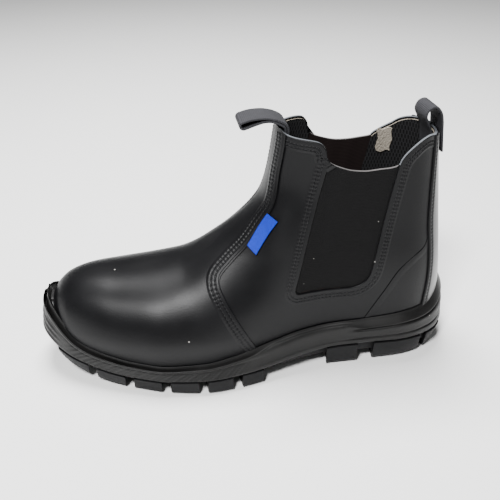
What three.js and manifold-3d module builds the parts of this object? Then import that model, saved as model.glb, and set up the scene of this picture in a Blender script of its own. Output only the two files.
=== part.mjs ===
// Pull-on safety boot for the left foot, in millimetres.
// +X points to the toe, +Y to the outer side of the foot and +Z up, and the tread stands on z = 0.
// Heights and places along the foot are shares of the named sizes below, so the boot follows them.
import * as THREE from 'three';
import { mergeVertices } from 'three/addons/utils/BufferGeometryUtils.js';
import Module from 'manifold-3d';

const wasm = await Module();
wasm.setup();

// Driving sizes of the whole boot
const SOLE_LENGTH = 292;
const BALL_WIDTH = 98;
const HEEL_WIDTH = 75.5;
const COLLAR_WIDTH = 58;
const SHAFT_HEIGHT = 171;
const TOE_HEIGHT = 75;
const LIP_HEIGHT = 34;
const TOE_BEND = 8;
const WALL = 2.4;
const CLEARANCE = 0.3;

// The last: how the foot form closes at the toe, the heel, the ridge and the shin
const TOE_ROUND_LENGTH = 83;
const TOE_TOP_LENGTH = 48;
const TOE_PLAN_POWER = 2.3;
const TOE_TOP_POWER = 2.9;
const HEEL_ROUND_RADIUS = 40;
const COLLAR_BACK_RADIUS = 29;
const HEEL_POWER = 2.15;
const RIDGE_POWER = 2.35;
const SHIN_LENGTH = 51;
const ANKLE_SWELL = 2.0;
const SIDE_SWELL = 2.5;

// Where the form narrows from its plan to the collar, in shares of the shaft height and of the length
const NARROWING = { from: 0.175, to: 0.924, power: 0.9, fadeFrom: 0.53, fadeTo: 0.785 };
// Place of the ankle's swell, in shares of the shaft height and of the length
const ANKLE = { middle: 0.456, reach: 0.152, fadeFrom: 0.426, fadeTo: 0.631 };
// Place of the sides' swell over the ball and toes, in shares of the toe height and of the length
const SIDES = { riseFrom: 0.293, riseTo: 0.533, fallFrom: 0.693, fallTo: 1.12, startAt: 0.357, fullAt: 0.631 };
// Heights where the heel's round back turns into the collar's, and where the ridge turns into the shin
const BACK_TURN = { from: 0.234, to: 0.936 };
const SHIN_TURN = { from: 0.515, to: 0.807 };
// Where the middle line starts to bend to the big toe, and where the heel's width turns into the ball's
const BEND_START = 0.56;
const WIDTH_TURN = { from: 0.3, to: 0.55 };

// Sole and the pieces on the upper
const LIP_WIDTH = 5;
const LIP_TUCK = 4;
const OUTSOLE_PLATE = 4;
const TREAD_DEPTH = 8.5;
const HEEL_TREAD_DEPTH = 9;
const LUG_PROUD = 2.5;
const TOE_SPRING = 14;
const TOE_SPRING_LENGTH = 52;
const HEEL_BEVEL = 6;
const HEEL_BEVEL_LENGTH = 20;
const HEEL_BEVEL_POWER = 1.5;
const TREAD_TURN = { from: 0.3, to: 0.5 };
const LUG_SINK = 0.5;
const BUMPER_WIDTH = 18;
const BUMPER_RISE = 1.8;
const BUMPER_ROUND = 3;
const BUMPER_TAPER = 2 / 3;
const INSOLE_THICKNESS = 4;
const VAMP_STEP = 1.1;
const ELASTIC_RECESS = 0.9;
const STRIP_THICKNESS = 1.1;
const STRIP_DROP = 0.5;
const STRIP_REACH = 0.2;
const TAB_THICKNESS = 1.2;
const WEBBING_WIDTH = 20;
const WEBBING_THICKNESS = 1.6;
const WINDOW_FRONT_RADIUS = 5;
const WINDOW_REAR_RADIUS = 14;

// Facets
const RING_COUNT = 21;
const COLUMN_COUNT = 20;
const SOLE_COLUMNS = 22;
const CURVE_STEPS = 24;
const CORNER_STEPS = 6;
const STRIP_STEPS = 8;
const MERGE_DISTANCE = 1e-4;

// How far the cutting forms run past what they cut
const OUT_OF_REACH = SHAFT_HEIGHT;
const OVERRUN = 1;
const FORM_TOP = 1.1;

// Spread of the form's rings: how low they start at the back, how their points crowd towards the back
// and the front, and how fast they leave the line of the deck
const RING_START = 0.35;
const CROWD_BACK = 2;
const CROWD_FRONT = 1.5;
const DECK_FADE = 4;

// Half widths of the foot form at the feather line, as shares of the width at that place
const PLAN = [
  { at: 0.012, lateral: 0.517, medial: 0.483 },
  { at: 0.135, lateral: 0.517, medial: 0.483 },
  { at: 0.248, lateral: 0.497, medial: 0.457 },
  { at: 0.350, lateral: 0.469, medial: 0.418 },
  { at: 0.443, lateral: 0.460, medial: 0.392 },
  { at: 0.535, lateral: 0.481, medial: 0.409 },
  { at: 0.631, lateral: 0.515, medial: 0.459 },
  { at: 0.716, lateral: 0.510, medial: 0.485 },
  { at: 0.791, lateral: 0.474, medial: 0.485 },
  { at: 0.863, lateral: 0.444, medial: 0.469 },
  { at: 0.928, lateral: 0.423, medial: 0.449 },
  { at: 0.983, lateral: 0.398, medial: 0.418 },
];

// Top edge of the sole's lip, as shares of the lip height at the heel
const LIP_LINE = [
  { at: 0.000, height: 1.65 },
  { at: 0.012, height: 1.53 },
  { at: 0.036, height: 1.37 },
  { at: 0.063, height: 1.27 },
  { at: 0.088, height: 1.235 },
  { at: 0.124, height: 1.200 },
  { at: 0.163, height: 1.145 },
  { at: 0.248, height: 1.060 },
  { at: 0.337, height: 0.975 },
  { at: 0.402, height: 0.912 },
  { at: 0.443, height: 0.845 },
  { at: 0.504, height: 0.765 },
  { at: 0.552, height: 0.690 },
  { at: 0.627, height: 0.620 },
  { at: 0.699, height: 0.612 },
  { at: 0.791, height: 0.655 },
  { at: 0.863, height: 0.745 },
  { at: 0.905, height: 0.830 },
  { at: 0.928, height: 0.930 },
  { at: 0.945, height: 1.060 },
  { at: 0.962, height: 1.230 },
  { at: 0.979, height: 1.400 },
  { at: 0.997, height: 1.550 },
];

// Top of the outsole, where the midsole sits on it, as shares of the lip height
const OUTSOLE_TOP = [
  { at: 0.00, height: 0.50 },
  { at: 0.26, height: 0.50 },
  { at: 0.36, height: 0.43 },
  { at: 0.50, height: 0.33 },
  { at: 0.62, height: 0.31 },
  { at: 0.80, height: 0.33 },
  { at: 0.92, height: 0.50 },
  { at: 1.00, height: 0.78 },
];

// How far the sole stands out past the lip, in lip widths: at the outsole's upper edge and on the ground
const FLARE = [
  { at: 0.00, edge: 0.85, tread: 0.10 },
  { at: 0.03, edge: 0.72, tread: 0.00 },
  { at: 0.08, edge: 0.15, tread: -0.40 },
  { at: 0.13, edge: -0.05, tread: -0.50 },
  { at: 0.20, edge: 0.00, tread: -0.25 },
  { at: 0.25, edge: 0.15, tread: 0.10 },
  { at: 0.35, edge: 0.40, tread: 0.55 },
  { at: 0.49, edge: 0.75, tread: 1.00 },
  { at: 0.57, edge: 0.80, tread: 1.10 },
  { at: 0.65, edge: 0.60, tread: 0.80 },
  { at: 0.73, edge: 0.25, tread: 0.10 },
  { at: 0.81, edge: 0.10, tread: -0.20 },
  { at: 0.90, edge: 0.20, tread: -0.40 },
  { at: 0.95, edge: 0.50, tread: -0.20 },
  { at: 1.00, edge: 0.85, tread: -0.20 },
];

// Ridge of the boot from the shin down to the toe, as shares of the toe and shaft heights; its first rows
// lead down the shin to below the instep
const INSTEP_ROW = 7;
const SHIN_ROWS = 9;
const RIDGE = [
  { at: 0.357, toe: 0, shaft: 1.93 },
  { at: 0.409, toe: 0, shaft: 1.345 },
  { at: 0.436, toe: 0, shaft: 0.965 },
  { at: 0.451, toe: 0, shaft: 0.803 },
  { at: 0.465, toe: 0, shaft: 0.720 },
  { at: 0.501, toe: 0, shaft: 0.638 },
  { at: 0.556, toe: 0.022, shaft: 0.551 },
  { at: 0.665, toe: 0.490, shaft: 0.2325 },
  { at: 0.781, toe: 0.932, shaft: 0 },
  { at: 0.836, toe: 0.914, shaft: 0 },
  { at: 1.000, toe: 0.906, shaft: 0 },
];

// Back of the heel and shaft
const BACK = [
  { height: 0.100, at: 0.0120 },
  { height: 0.199, at: 0.0120 },
  { height: 0.298, at: 0.0137 },
  { height: 0.485, at: 0.0274 },
  { height: 0.702, at: 0.0462 },
  { height: 0.953, at: 0.0684 },
  { height: 1.120, at: 0.0810 },
];

// Collar line seen from the side, from the shin to the back, and how far the inner side sags below it
const COLLAR = [
  { at: 0.520, height: 1.005, sag: 0.000 },
  { at: 0.436, height: 1.000, sag: 0.000 },
  { at: 0.422, height: 0.985, sag: 0.000 },
  { at: 0.357, height: 0.973, sag: 0.000 },
  { at: 0.345, height: 0.950, sag: 0.000 },
  { at: 0.338, height: 0.905, sag: 0.000 },
  { at: 0.299, height: 0.872, sag: 0.000 },
  { at: 0.261, height: 0.860, sag: 0.000 },
  { at: 0.220, height: 0.863, sag: 0.000 },
  { at: 0.181, height: 0.873, sag: 0.000 },
  { at: 0.174, height: 0.897, sag: 0.014 },
  { at: 0.162, height: 0.925, sag: 0.030 },
  { at: 0.135, height: 0.962, sag: 0.042 },
  { at: 0.111, height: 0.974, sag: 0.026 },
  { at: 0.084, height: 0.963, sag: 0.000 },
  { at: -0.05, height: 0.955, sag: 0.000 },
];

// Edge of the raised vamp seen from the side, from the shin down to the feather line
const VAMP_EDGE = [
  { at: 0.4225, height: 1.080 },
  { at: 0.4250, height: 0.965 },
  { at: 0.4350, height: 0.848 },
  { at: 0.4490, height: 0.719 },
  { at: 0.4800, height: 0.632 },
  { at: 0.5145, height: 0.556 },
  { at: 0.5520, height: 0.497 },
  { at: 0.5795, height: 0.450 },
  { at: 0.5810, height: 0.421 },
  { at: 0.5730, height: 0.386 },
  { at: 0.5520, height: 0.316 },
  { at: 0.5080, height: 0.170 },
  { at: 0.4670, height: 0.000 },
];

// Corners of the elastic windows seen from the side
const WINDOW = [
  { at: 0.2830, height: 1.30, round: 0 },
  { at: 0.4100, height: 0.364, round: WINDOW_FRONT_RADIUS },
  { at: 0.2315, height: 0.372, round: WINDOW_REAR_RADIUS },
  { at: 0.1350, height: 1.30, round: 0 },
];

// Half width of the back strip, as shares of the heel width
const STRIP = [
  { height: 0.20, half: 0.470 },
  { height: 0.30, half: 0.452 },
  { height: 0.57, half: 0.384 },
  { height: 0.75, half: 0.331 },
  { height: 0.94, half: 0.278 },
  { height: 1.10, half: 0.250 },
];

// Corners of the side tab, which lies on the quarter beside the vamp edge
const TAB = [
  { at: 0.4608, height: 0.677 },
  { at: 0.4420, height: 0.662 },
  { at: 0.4935, height: 0.530 },
  { at: 0.5105, height: 0.557 },
];

// Walls of the sole's pieces from their bottom to their top: how far each level lies inside the lip,
// as a share of the lip width, and how far at the heel, where the midsole has a slanted ledge
const HEEL_TURN = { from: 0.28, to: 0.20 };
const MIDSOLE_WALL = [
  { level: 0.00, inset: 0.30, heel: 0.25 },
  { level: 0.08, inset: 0.06, heel: 0.06 },
  { level: 0.24, inset: 0.06, heel: 0.06 },
  { level: 0.32, inset: 0.26, heel: 0.24 },
  { level: 0.42, inset: 0.06, heel: 0.06 },
  { level: 0.56, inset: 0.22, heel: 0.10 },
  { level: 0.66, inset: 0.02, heel: 0.34 },
  { level: 0.74, inset: 0.24, heel: 0.02 },
  { level: 0.82, inset: 0.00, heel: 0.22 },
  { level: 0.94, inset: 0.02, heel: 0.55 },
  { level: 1.00, inset: 0.18, heel: 0.80 },
];
const BUMPER_WALL = [
  { level: 0.00, inset: 0.00 },
  { level: 0.60, inset: 0.04 },
  { level: 1.00, inset: 0.32 },
];
const LUG_WALL = [
  { level: 0.00, inset: 0.20 },
  { level: 0.20, inset: 0.04 },
  { level: 1.00, inset: 0.06 },
];
const PLATE_WALL = [
  { level: 0.00, inset: 0.30 },
  { level: 1.00, inset: 0.20 },
];

// How far a lug runs out, in ball widths, how its slant is shared, and how pointed the centre blocks are
const LUG_REACH = 0.75;
const LUG_LEAN = { inner: 0.4, outer: 0.6 };
const BLOCK_POINT = 0.25;

// Lugs of the tread along the foot: the outer lugs of each edge and the blocks between them
const LUGS = [
  { from: 0.008, to: 0.060, slant: 0.00, inner: 0.10 },
  { from: 0.078, to: 0.202, slant: 0.03, inner: 0.45 },
  { from: 0.240, to: 0.318, slant: 0.05, inner: 0.30 },
  { from: 0.492, to: 0.546, slant: -0.02, inner: 0.32 },
  { from: 0.570, to: 0.630, slant: -0.02, inner: 0.32 },
  { from: 0.652, to: 0.716, slant: -0.02, inner: 0.32 },
  { from: 0.738, to: 0.800, slant: -0.02, inner: 0.32 },
  { from: 0.822, to: 0.884, slant: -0.03, inner: 0.32 },
  { from: 0.906, to: 0.966, slant: -0.05, inner: 0.20 },
];
const CENTRE_BLOCKS = [
  { from: 0.090, to: 0.190, half: 0.14 },
  { from: 0.515, to: 0.560, half: 0.16 },
  { from: 0.592, to: 0.640, half: 0.17 },
  { from: 0.674, to: 0.724, half: 0.17 },
  { from: 0.760, to: 0.808, half: 0.16 },
  { from: 0.842, to: 0.884, half: 0.14 },
];

// Webbing loops: middle of the strap seen from the side, in shares of the length and shaft height
const FRONT_LOOP = [
  { at: 0.4253, height: 0.880 },
  { at: 0.4183, height: 0.955 },
  { at: 0.4190, height: 1.004 },
  { at: 0.4360, height: 1.025 },
  { at: 0.4620, height: 1.035 },
  { at: 0.4900, height: 1.029 },
  { at: 0.5120, height: 1.018 },
];
const REAR_LOOP = [
  { at: 0.0795, height: 0.880 },
  { at: 0.0855, height: 0.950 },
  { at: 0.0960, height: 0.988 },
  { at: 0.1030, height: 1.016 },
  { at: 0.0970, height: 1.042 },
  { at: 0.0830, height: 1.050 },
  { at: 0.0700, height: 1.030 },
  { at: 0.0632, height: 0.995 },
  { at: 0.0600, height: 0.955 },
  { at: 0.0562, height: 0.910 },
  { at: 0.0529, height: 0.870 },
];

// A smooth curve through rows that neither overshoots nor rings between them
class Track {
  constructor(rows, from, to) {
    const sorted = [...rows].sort((a, b) => from(a) - from(b));
    this.x = sorted.map(from);
    this.y = sorted.map(to);
    const last = this.x.length - 1;
    this.step = this.x.slice(1).map((value, i) => value - this.x[i]);
    const slope = this.step.map((step, i) => (this.y[i + 1] - this.y[i]) / step);
    this.tangent = this.x.map((_, i) => {
      if (i === 0) return slope[0];
      if (i === last) return slope[last - 1];
      if (slope[i - 1] * slope[i] <= 0) return 0;
      const before = 2 * this.step[i] + this.step[i - 1];
      const after = this.step[i] + 2 * this.step[i - 1];
      return (before + after) / (before / slope[i - 1] + after / slope[i]);
    });
  }

  value(at) {
    const last = this.x.length - 1;
    const inside = Math.min(Math.max(at, this.x[0]), this.x[last]);
    let i = 0;
    while (i < last - 1 && inside > this.x[i + 1]) i += 1;
    const t = (inside - this.x[i]) / this.step[i];
    return (1 + 2 * t) * (1 - t) ** 2 * this.y[i]
      + t * (1 - t) ** 2 * this.step[i] * this.tangent[i]
      + t * t * (3 - 2 * t) * this.y[i + 1]
      + t * t * (t - 1) * this.step[i] * this.tangent[i + 1];
  }
}

const clamp = (value) => Math.min(Math.max(value, 0), 1);
const mix = (a, b, t) => a + (b - a) * t;
const smooth = (from, to, value) => {
  const t = clamp((value - from) / (to - from));
  return t * t * (3 - 2 * t);
};
const roundOff = (value, power) => (1 - clamp(value) ** power) ** (1 / power);
const alongX = (share) => (share - 0.5) * SOLE_LENGTH;
const shareOf = (x) => x / SOLE_LENGTH + 0.5;
const upZ = (share) => share * SHAFT_HEIGHT;

const TOE_TIP = SOLE_LENGTH / 2 - LIP_WIDTH;
const DECK_CAP = LIP_HEIGHT - LIP_TUCK;
const HALF_LENGTH = SOLE_LENGTH / 2;

const lateralTrack = new Track(PLAN, (row) => row.at, (row) => row.lateral);
const medialTrack = new Track(PLAN, (row) => row.at, (row) => row.medial);
const lipTrack = new Track(LIP_LINE, (row) => alongX(row.at), (row) => row.height * LIP_HEIGHT);
const outsoleTopTrack = new Track(OUTSOLE_TOP, (row) => alongX(row.at), (row) => row.height * LIP_HEIGHT);
const ridgeHeight = (row) => row.toe * TOE_HEIGHT + row.shaft * SHAFT_HEIGHT;
const ridgeTrack = new Track(RIDGE, (row) => alongX(row.at), ridgeHeight);
const shinTrack = new Track(RIDGE.slice(0, SHIN_ROWS), ridgeHeight, (row) => alongX(row.at));
const edgeFlare = new Track(FLARE, (row) => alongX(row.at), (row) => row.edge * LIP_WIDTH);
const treadFlare = new Track(FLARE, (row) => alongX(row.at), (row) => row.tread * LIP_WIDTH);
const backTrack = new Track(BACK, (row) => upZ(row.height), (row) => alongX(row.at));
const stripTrack = new Track(STRIP, (row) => upZ(row.height), (row) => row.half * HEEL_WIDTH);

// Sideways bend of the boot's middle line towards the big toe
const bend = (x) => -TOE_BEND * clamp((shareOf(x) - BEND_START) / (1 - BEND_START)) ** 2;

// Width that the plan shares refer to, from the heel's to the ball's
const widthAt = (x) => mix(HEEL_WIDTH, BALL_WIDTH, smooth(WIDTH_TURN.from, WIDTH_TURN.to, shareOf(x)));
const planHalf = (x, side) => {
  const track = side > 0 ? lateralTrack : medialTrack;
  return track.value(shareOf(x)) * widthAt(x);
};

// Height of the deck that the upper and the insole stand on
const deckHeight = (x) => Math.min(lipTrack.value(x), LIP_HEIGHT) - LIP_TUCK;

// Ridge height with the round end of the toe
const topHeight = (x) => {
  const end = (x - TOE_TIP + TOE_TOP_LENGTH) / TOE_TOP_LENGTH;
  return DECK_CAP + (ridgeTrack.value(x) - DECK_CAP) * roundOff(end, TOE_TOP_POWER);
};

// Half width of the foot form at a place along the foot and a height
function formHalf(x, z, side) {
  const share = shareOf(x);
  const rise = z / SHAFT_HEIGHT;
  const tapered = smooth(NARROWING.from, NARROWING.to, rise) ** NARROWING.power;
  const narrowing = tapered * (1 - smooth(NARROWING.fadeFrom, NARROWING.fadeTo, share));
  let half = mix(planHalf(x, side), COLLAR_WIDTH / 2, narrowing);
  const ankle = Math.exp(-(((rise - ANKLE.middle) / ANKLE.reach) ** 2));
  half += ANKLE_SWELL * ankle * (1 - smooth(ANKLE.fadeFrom, ANKLE.fadeTo, share));
  const low = z / TOE_HEIGHT;
  const swollen = smooth(SIDES.riseFrom, SIDES.riseTo, low) * (1 - smooth(SIDES.fallFrom, SIDES.fallTo, low));
  half += SIDE_SWELL * swollen * smooth(SIDES.startAt, SIDES.fullAt, share);
  const toeEnd = roundOff((x - TOE_TIP + TOE_ROUND_LENGTH) / TOE_ROUND_LENGTH, TOE_PLAN_POWER);
  const radius = mix(HEEL_ROUND_RADIUS, COLLAR_BACK_RADIUS, smooth(BACK_TURN.from, BACK_TURN.to, rise));
  const heelEnd = roundOff((backTrack.value(z) + radius - x) / radius, HEEL_POWER);
  const deck = deckHeight(x);
  const room = topHeight(x) - deck;
  const overRidge = room > 0 ? clamp((z - deck) / room) : 1;
  const shin = shinTrack.value(z);
  const overShin = clamp((x - shin + SHIN_LENGTH) / SHIN_LENGTH);
  const closing = mix(overRidge, overShin, smooth(SHIN_TURN.from, SHIN_TURN.to, rise));
  return half * toeEnd * heelEnd * roundOff(closing, RIDGE_POWER);
}

// Points along the middle of the boot's front, from under the toe tip over the instep to above the collar
function frontLine() {
  const points = [];
  const low = deckHeight(TOE_TIP) - LIP_TUCK;
  points.push([TOE_TIP, low]);
  points.push([TOE_TIP, (low + DECK_CAP) / 2]);
  for (let i = 0; i <= CURVE_STEPS; i += 1) {
    const x = TOE_TIP - TOE_TOP_LENGTH * (1 - Math.cos((i / CURVE_STEPS) * Math.PI / 2));
    points.push([x, topHeight(x)]);
  }
  const instep = RIDGE[INSTEP_ROW];
  const instepX = alongX(instep.at);
  for (let i = 1; i < CURVE_STEPS; i += 1) {
    const x = mix(TOE_TIP - TOE_TOP_LENGTH, instepX, i / CURVE_STEPS);
    points.push([x, topHeight(x)]);
  }
  for (let i = 0; i <= CURVE_STEPS; i += 1) {
    const z = mix(ridgeHeight(instep), FORM_TOP * SHAFT_HEIGHT, i / CURVE_STEPS);
    points.push([shinTrack.value(z), z]);
  }
  return points;
}

// Equal steps along a line of side-view points
function evenSteps(points, count) {
  const lengths = [0];
  for (let i = 1; i < points.length; i += 1) {
    lengths.push(lengths[i - 1] + Math.hypot(points[i][0] - points[i - 1][0], points[i][1] - points[i - 1][1]));
  }
  const total = lengths[lengths.length - 1];
  return Array.from({ length: count }, (_, k) => {
    const wanted = (total * k) / (count - 1);
    let i = 1;
    while (i < lengths.length - 1 && lengths[i] < wanted) i += 1;
    const t = (wanted - lengths[i - 1]) / (lengths[i] - lengths[i - 1]);
    return [mix(points[i - 1][0], points[i][0], t), mix(points[i - 1][1], points[i][1], t)];
  });
}

// Rings of the foot form: each runs from the back along the outer side to the front and home along the inner side
function formRings() {
  const front = evenSteps(frontLine(), RING_COUNT);
  const lowest = front[0][1];
  const highest = front[RING_COUNT - 1][1];
  const rings = [];
  for (let i = 0; i < RING_COUNT; i += 1) {
    const rise = i / (RING_COUNT - 1);
    const climbed = (front[i][1] - lowest) / (highest - lowest);
    const backZ = mix(lowest, highest, climbed * mix(RING_START, 1, rise));
    const backX = backTrack.value(backZ);
    const settle = (x) => (deckHeight(x) - LIP_TUCK - lowest) * (1 - rise) ** DECK_FADE;
    const loop = [];
    for (let k = 0; k < 2 * COLUMN_COUNT; k += 1) {
      const column = k <= COLUMN_COUNT ? k : 2 * COLUMN_COUNT - k;
      const side = k <= COLUMN_COUNT ? 1 : -1;
      const turn = column / COLUMN_COUNT;
      const step = turn ** CROWD_BACK / (turn ** CROWD_BACK + (1 - turn) ** CROWD_FRONT);
      const reach = Math.sin((step * Math.PI) / 2);
      const climb = 1 - Math.cos((step * Math.PI) / 2);
      const x = mix(backX, front[i][0], reach);
      const z = mix(backZ, front[i][1], climb) + settle(x) - settle(front[i][0]) * climb;
      const onMiddle = column === 0 || column === COLUMN_COUNT;
      const half = onMiddle ? 0 : formHalf(x, z, side);
      loop.push(new THREE.Vector3(x, bend(x) + side * half, z));
    }
    rings.push(loop);
  }
  return rings;
}

// Closed skin over rings of points, with a strip of facets across the bottom and the top
function skinSolid(rings) {
  const around = rings[0].length;
  const half = around / 2;
  const positions = rings.flat().flatMap((point) => [point.x, point.y, point.z]);
  const faces = [];
  const at = (ring, k) => ring * around + ((k + around) % around);
  for (let i = 0; i < rings.length - 1; i += 1) {
    for (let k = 0; k < around; k += 1) {
      faces.push(at(i, k), at(i + 1, k + 1), at(i, k + 1));
      faces.push(at(i, k), at(i + 1, k), at(i + 1, k + 1));
    }
  }
  const top = rings.length - 1;
  for (let k = 0; k < half; k += 1) {
    if (k < half - 1) {
      faces.push(at(0, k), at(0, k + 1), at(0, -k - 1));
      faces.push(at(top, k), at(top, -k - 1), at(top, k + 1));
    }
    if (k > 0) {
      faces.push(at(0, k), at(0, -k - 1 < -half ? half : -k - 1), at(0, -k));
      faces.push(at(top, k), at(top, -k), at(top, -k - 1 < -half ? half : -k - 1));
    }
  }
  return new wasm.Manifold(new wasm.Mesh({
    numProp: 3,
    vertProperties: new Float32Array(positions),
    triVerts: new Uint32Array(faces),
  }));
}

// The rings moved out along their own normals, or in for a negative distance
function movedRings(rings, distance) {
  const around = rings[0].length;
  return rings.map((loop, i) => loop.map((point, k) => {
    const up = rings[Math.min(i + 1, rings.length - 1)][k].clone().sub(rings[Math.max(i - 1, 0)][k]);
    const along = loop[(k + 1) % around].clone().sub(loop[(k + around - 1) % around]);
    const normal = up.cross(along).normalize();
    return point.clone().addScaledVector(normal, distance);
  }));
}

// Any closed three.js geometry as a solid
function solidOf(geometry) {
  geometry.deleteAttribute('normal');
  geometry.deleteAttribute('uv');
  const merged = mergeVertices(geometry, MERGE_DISTANCE);
  return new wasm.Manifold(new wasm.Mesh({
    numProp: 3,
    vertProperties: new Float32Array(merged.attributes.position.array),
    triVerts: new Uint32Array(merged.index.array),
  }));
}

// Prism over a side-view outline, from one Y to another
function sidePrism(shape, fromY, toY) {
  const options = { depth: toY - fromY, bevelEnabled: false, curveSegments: CORNER_STEPS };
  const geometry = new THREE.ExtrudeGeometry(shape, options);
  geometry.rotateX(Math.PI / 2);
  geometry.translate(0, toY, 0);
  return solidOf(geometry);
}

// Prism over a back-view outline, from one X to another
function backPrism(shape, fromX, toX) {
  const geometry = new THREE.ExtrudeGeometry(shape, { depth: toX - fromX, bevelEnabled: false });
  const turn = new THREE.Matrix4().makeBasis(
    new THREE.Vector3(0, 1, 0), new THREE.Vector3(0, 0, 1), new THREE.Vector3(1, 0, 0));
  geometry.applyMatrix4(turn);
  geometry.translate(fromX, 0, 0);
  return solidOf(geometry);
}

// Prism over a plan outline, from one Z to another
function planPrism(shape, fromZ, toZ) {
  const geometry = new THREE.ExtrudeGeometry(shape, { depth: toZ - fromZ, bevelEnabled: false });
  geometry.translate(0, 0, fromZ);
  return solidOf(geometry);
}

const shapeOf = (points) => new THREE.Shape(points.map(([u, v]) => new THREE.Vector2(u, v)));

// Outline with round corners; grow is how far it lies outside its corner points
function roundedShape(corners, grow) {
  const count = corners.length;
  const area = corners.reduce((sum, corner, i) => {
    const next = corners[(i + 1) % count];
    return sum + corner.u * next.v - next.u * corner.v;
  }, 0);
  const turn = Math.sign(area);
  const sides = corners.map((corner, i) => {
    const next = corners[(i + 1) % count];
    const length = Math.hypot(next.u - corner.u, next.v - corner.v);
    const along = [(next.u - corner.u) / length, (next.v - corner.v) / length];
    const shift = [along[1] * grow * turn, -along[0] * grow * turn];
    return { start: [corner.u + shift[0], corner.v + shift[1]], along };
  });
  const moved = corners.map((corner, i) => {
    const a = sides[(i + count - 1) % count];
    const b = sides[i];
    const cross = a.along[0] * b.along[1] - a.along[1] * b.along[0];
    const gap = [b.start[0] - a.start[0], b.start[1] - a.start[1]];
    const t = (gap[0] * b.along[1] - gap[1] * b.along[0]) / cross;
    const point = [a.start[0] + a.along[0] * t, a.start[1] + a.along[1] * t];
    return { point, before: a.along, after: b.along };
  });
  const shape = new THREE.Shape();
  moved.forEach(({ point, before, after }, i) => {
    const reach = corners[i].round;
    const first = [point[0] - before[0] * reach, point[1] - before[1] * reach];
    const last = [point[0] + after[0] * reach, point[1] + after[1] * reach];
    if (i === 0) shape.moveTo(...first);
    else shape.lineTo(...first);
    if (reach > 0) shape.quadraticCurveTo(...point, ...last);
  });
  shape.closePath();
  return shape;
}

const sideCorners = (rows) => rows.map(({ at, height, round }) => ({ u: alongX(at), v: upZ(height), round }));
const sidePoints = (rows) => rows.map((row) => [alongX(row.at), upZ(row.height)]);
const sagging = (rows) => rows.map(({ at, height, sag }) => ({ at, height: height - sag }));

// Smooth side-view points through table rows
function smoothPoints(rows, count) {
  const knots = sidePoints(rows).map(([x, z]) => new THREE.Vector3(x, 0, z));
  const curve = new THREE.CatmullRomCurve3(knots, false, 'centripetal');
  return curve.getPoints(count).map((point) => [point.x, point.z]);
}

// Everything under the deck, raised by a gap
function underDeck(gap) {
  const points = [];
  for (let i = 0; i <= 2 * CURVE_STEPS; i += 1) {
    const x = mix(-HALF_LENGTH - LIP_WIDTH, HALF_LENGTH + LIP_WIDTH, i / (2 * CURVE_STEPS));
    points.push([x, deckHeight(x) + gap]);
  }
  const below = -OUT_OF_REACH;
  return sidePrism(shapeOf([...points, [HALF_LENGTH + LIP_WIDTH, below], [-HALF_LENGTH - LIP_WIDTH, below]]),
    -OUT_OF_REACH, OUT_OF_REACH);
}

// Everything over the collar line, which is a line of its own on each side
function overCollar(gap) {
  const prism = (rows, fromY, toY) => {
    const points = smoothPoints(rows, 3 * CURVE_STEPS).map(([x, z]) => [x, z + gap]);
    const high = 2 * SHAFT_HEIGHT;
    const first = points[0];
    const last = points[points.length - 1];
    return sidePrism(shapeOf([...points, [last[0], high], [first[0], high]]), fromY, toY);
  };
  return prism(COLLAR, 0, OUT_OF_REACH).add(prism(sagging(COLLAR), -OUT_OF_REACH, 0));
}

// Ahead of the vamp edge, which lies back by a gap where another piece meets it
function aheadOfVampEdge(gap) {
  const points = smoothPoints(VAMP_EDGE, 2 * CURVE_STEPS).map(([x, z]) => [x - gap, z]);
  return sidePrism(shapeOf([...points, [HALF_LENGTH + LIP_WIDTH, 0], [HALF_LENGTH + LIP_WIDTH, points[0][1]]]),
    -OUT_OF_REACH, OUT_OF_REACH);
}

const baseRings = formRings();
const form = (distance) => skinSolid(distance === 0 ? baseRings : movedRings(baseRings, distance));

// Outline of the sole as a loop like the form's rings; insetAt says how far inside the lip it lies at each X
function soleLoop(insetAt) {
  const loop = [];
  const place = (k) => {
    const column = k <= SOLE_COLUMNS ? k : 2 * SOLE_COLUMNS - k;
    const side = k <= SOLE_COLUMNS ? 1 : -1;
    const x = -HALF_LENGTH * Math.cos((Math.PI * column) / SOLE_COLUMNS);
    const toeLength = TOE_ROUND_LENGTH + LIP_WIDTH;
    const toeEnd = roundOff((x - HALF_LENGTH + toeLength) / toeLength, TOE_PLAN_POWER);
    const radius = HEEL_ROUND_RADIUS + LIP_WIDTH;
    const heelEnd = roundOff((radius - HALF_LENGTH - x) / radius, HEEL_POWER);
    const middle = column === 0 || column === SOLE_COLUMNS;
    const half = middle ? 0 : (planHalf(x, side) + LIP_WIDTH) * toeEnd * heelEnd;
    return new THREE.Vector3(x, bend(x) + side * half, 0);
  };
  const around = 2 * SOLE_COLUMNS;
  for (let k = 0; k < around; k += 1) {
    const along = place((k + 1) % around).sub(place((k + around - 1) % around));
    const outward = new THREE.Vector3(-along.y, along.x, 0).normalize();
    const point = place(k);
    loop.push(point.addScaledVector(outward, -insetAt(point.x)));
  }
  return loop;
}

// Slab of the sole: levels from a bottom height to a top height, each with its own inset, and a flare outwards
const noFlare = () => 0;
function soleSlab(wall, bottom, top, flare = noFlare) {
  return skinSolid(wall.map(({ level, inset, heel = inset }) => {
    const insetAt = (x) => {
      const share = mix(inset, heel, smooth(-HEEL_TURN.from, -HEEL_TURN.to, -shareOf(x)));
      return share * LIP_WIDTH - flare(x, level);
    };
    return soleLoop(insetAt).map((point) => {
      const z = mix(bottom(point.x), top(point.x), level);
      return new THREE.Vector3(point.x, point.y, z);
    });
  }));
}

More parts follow.
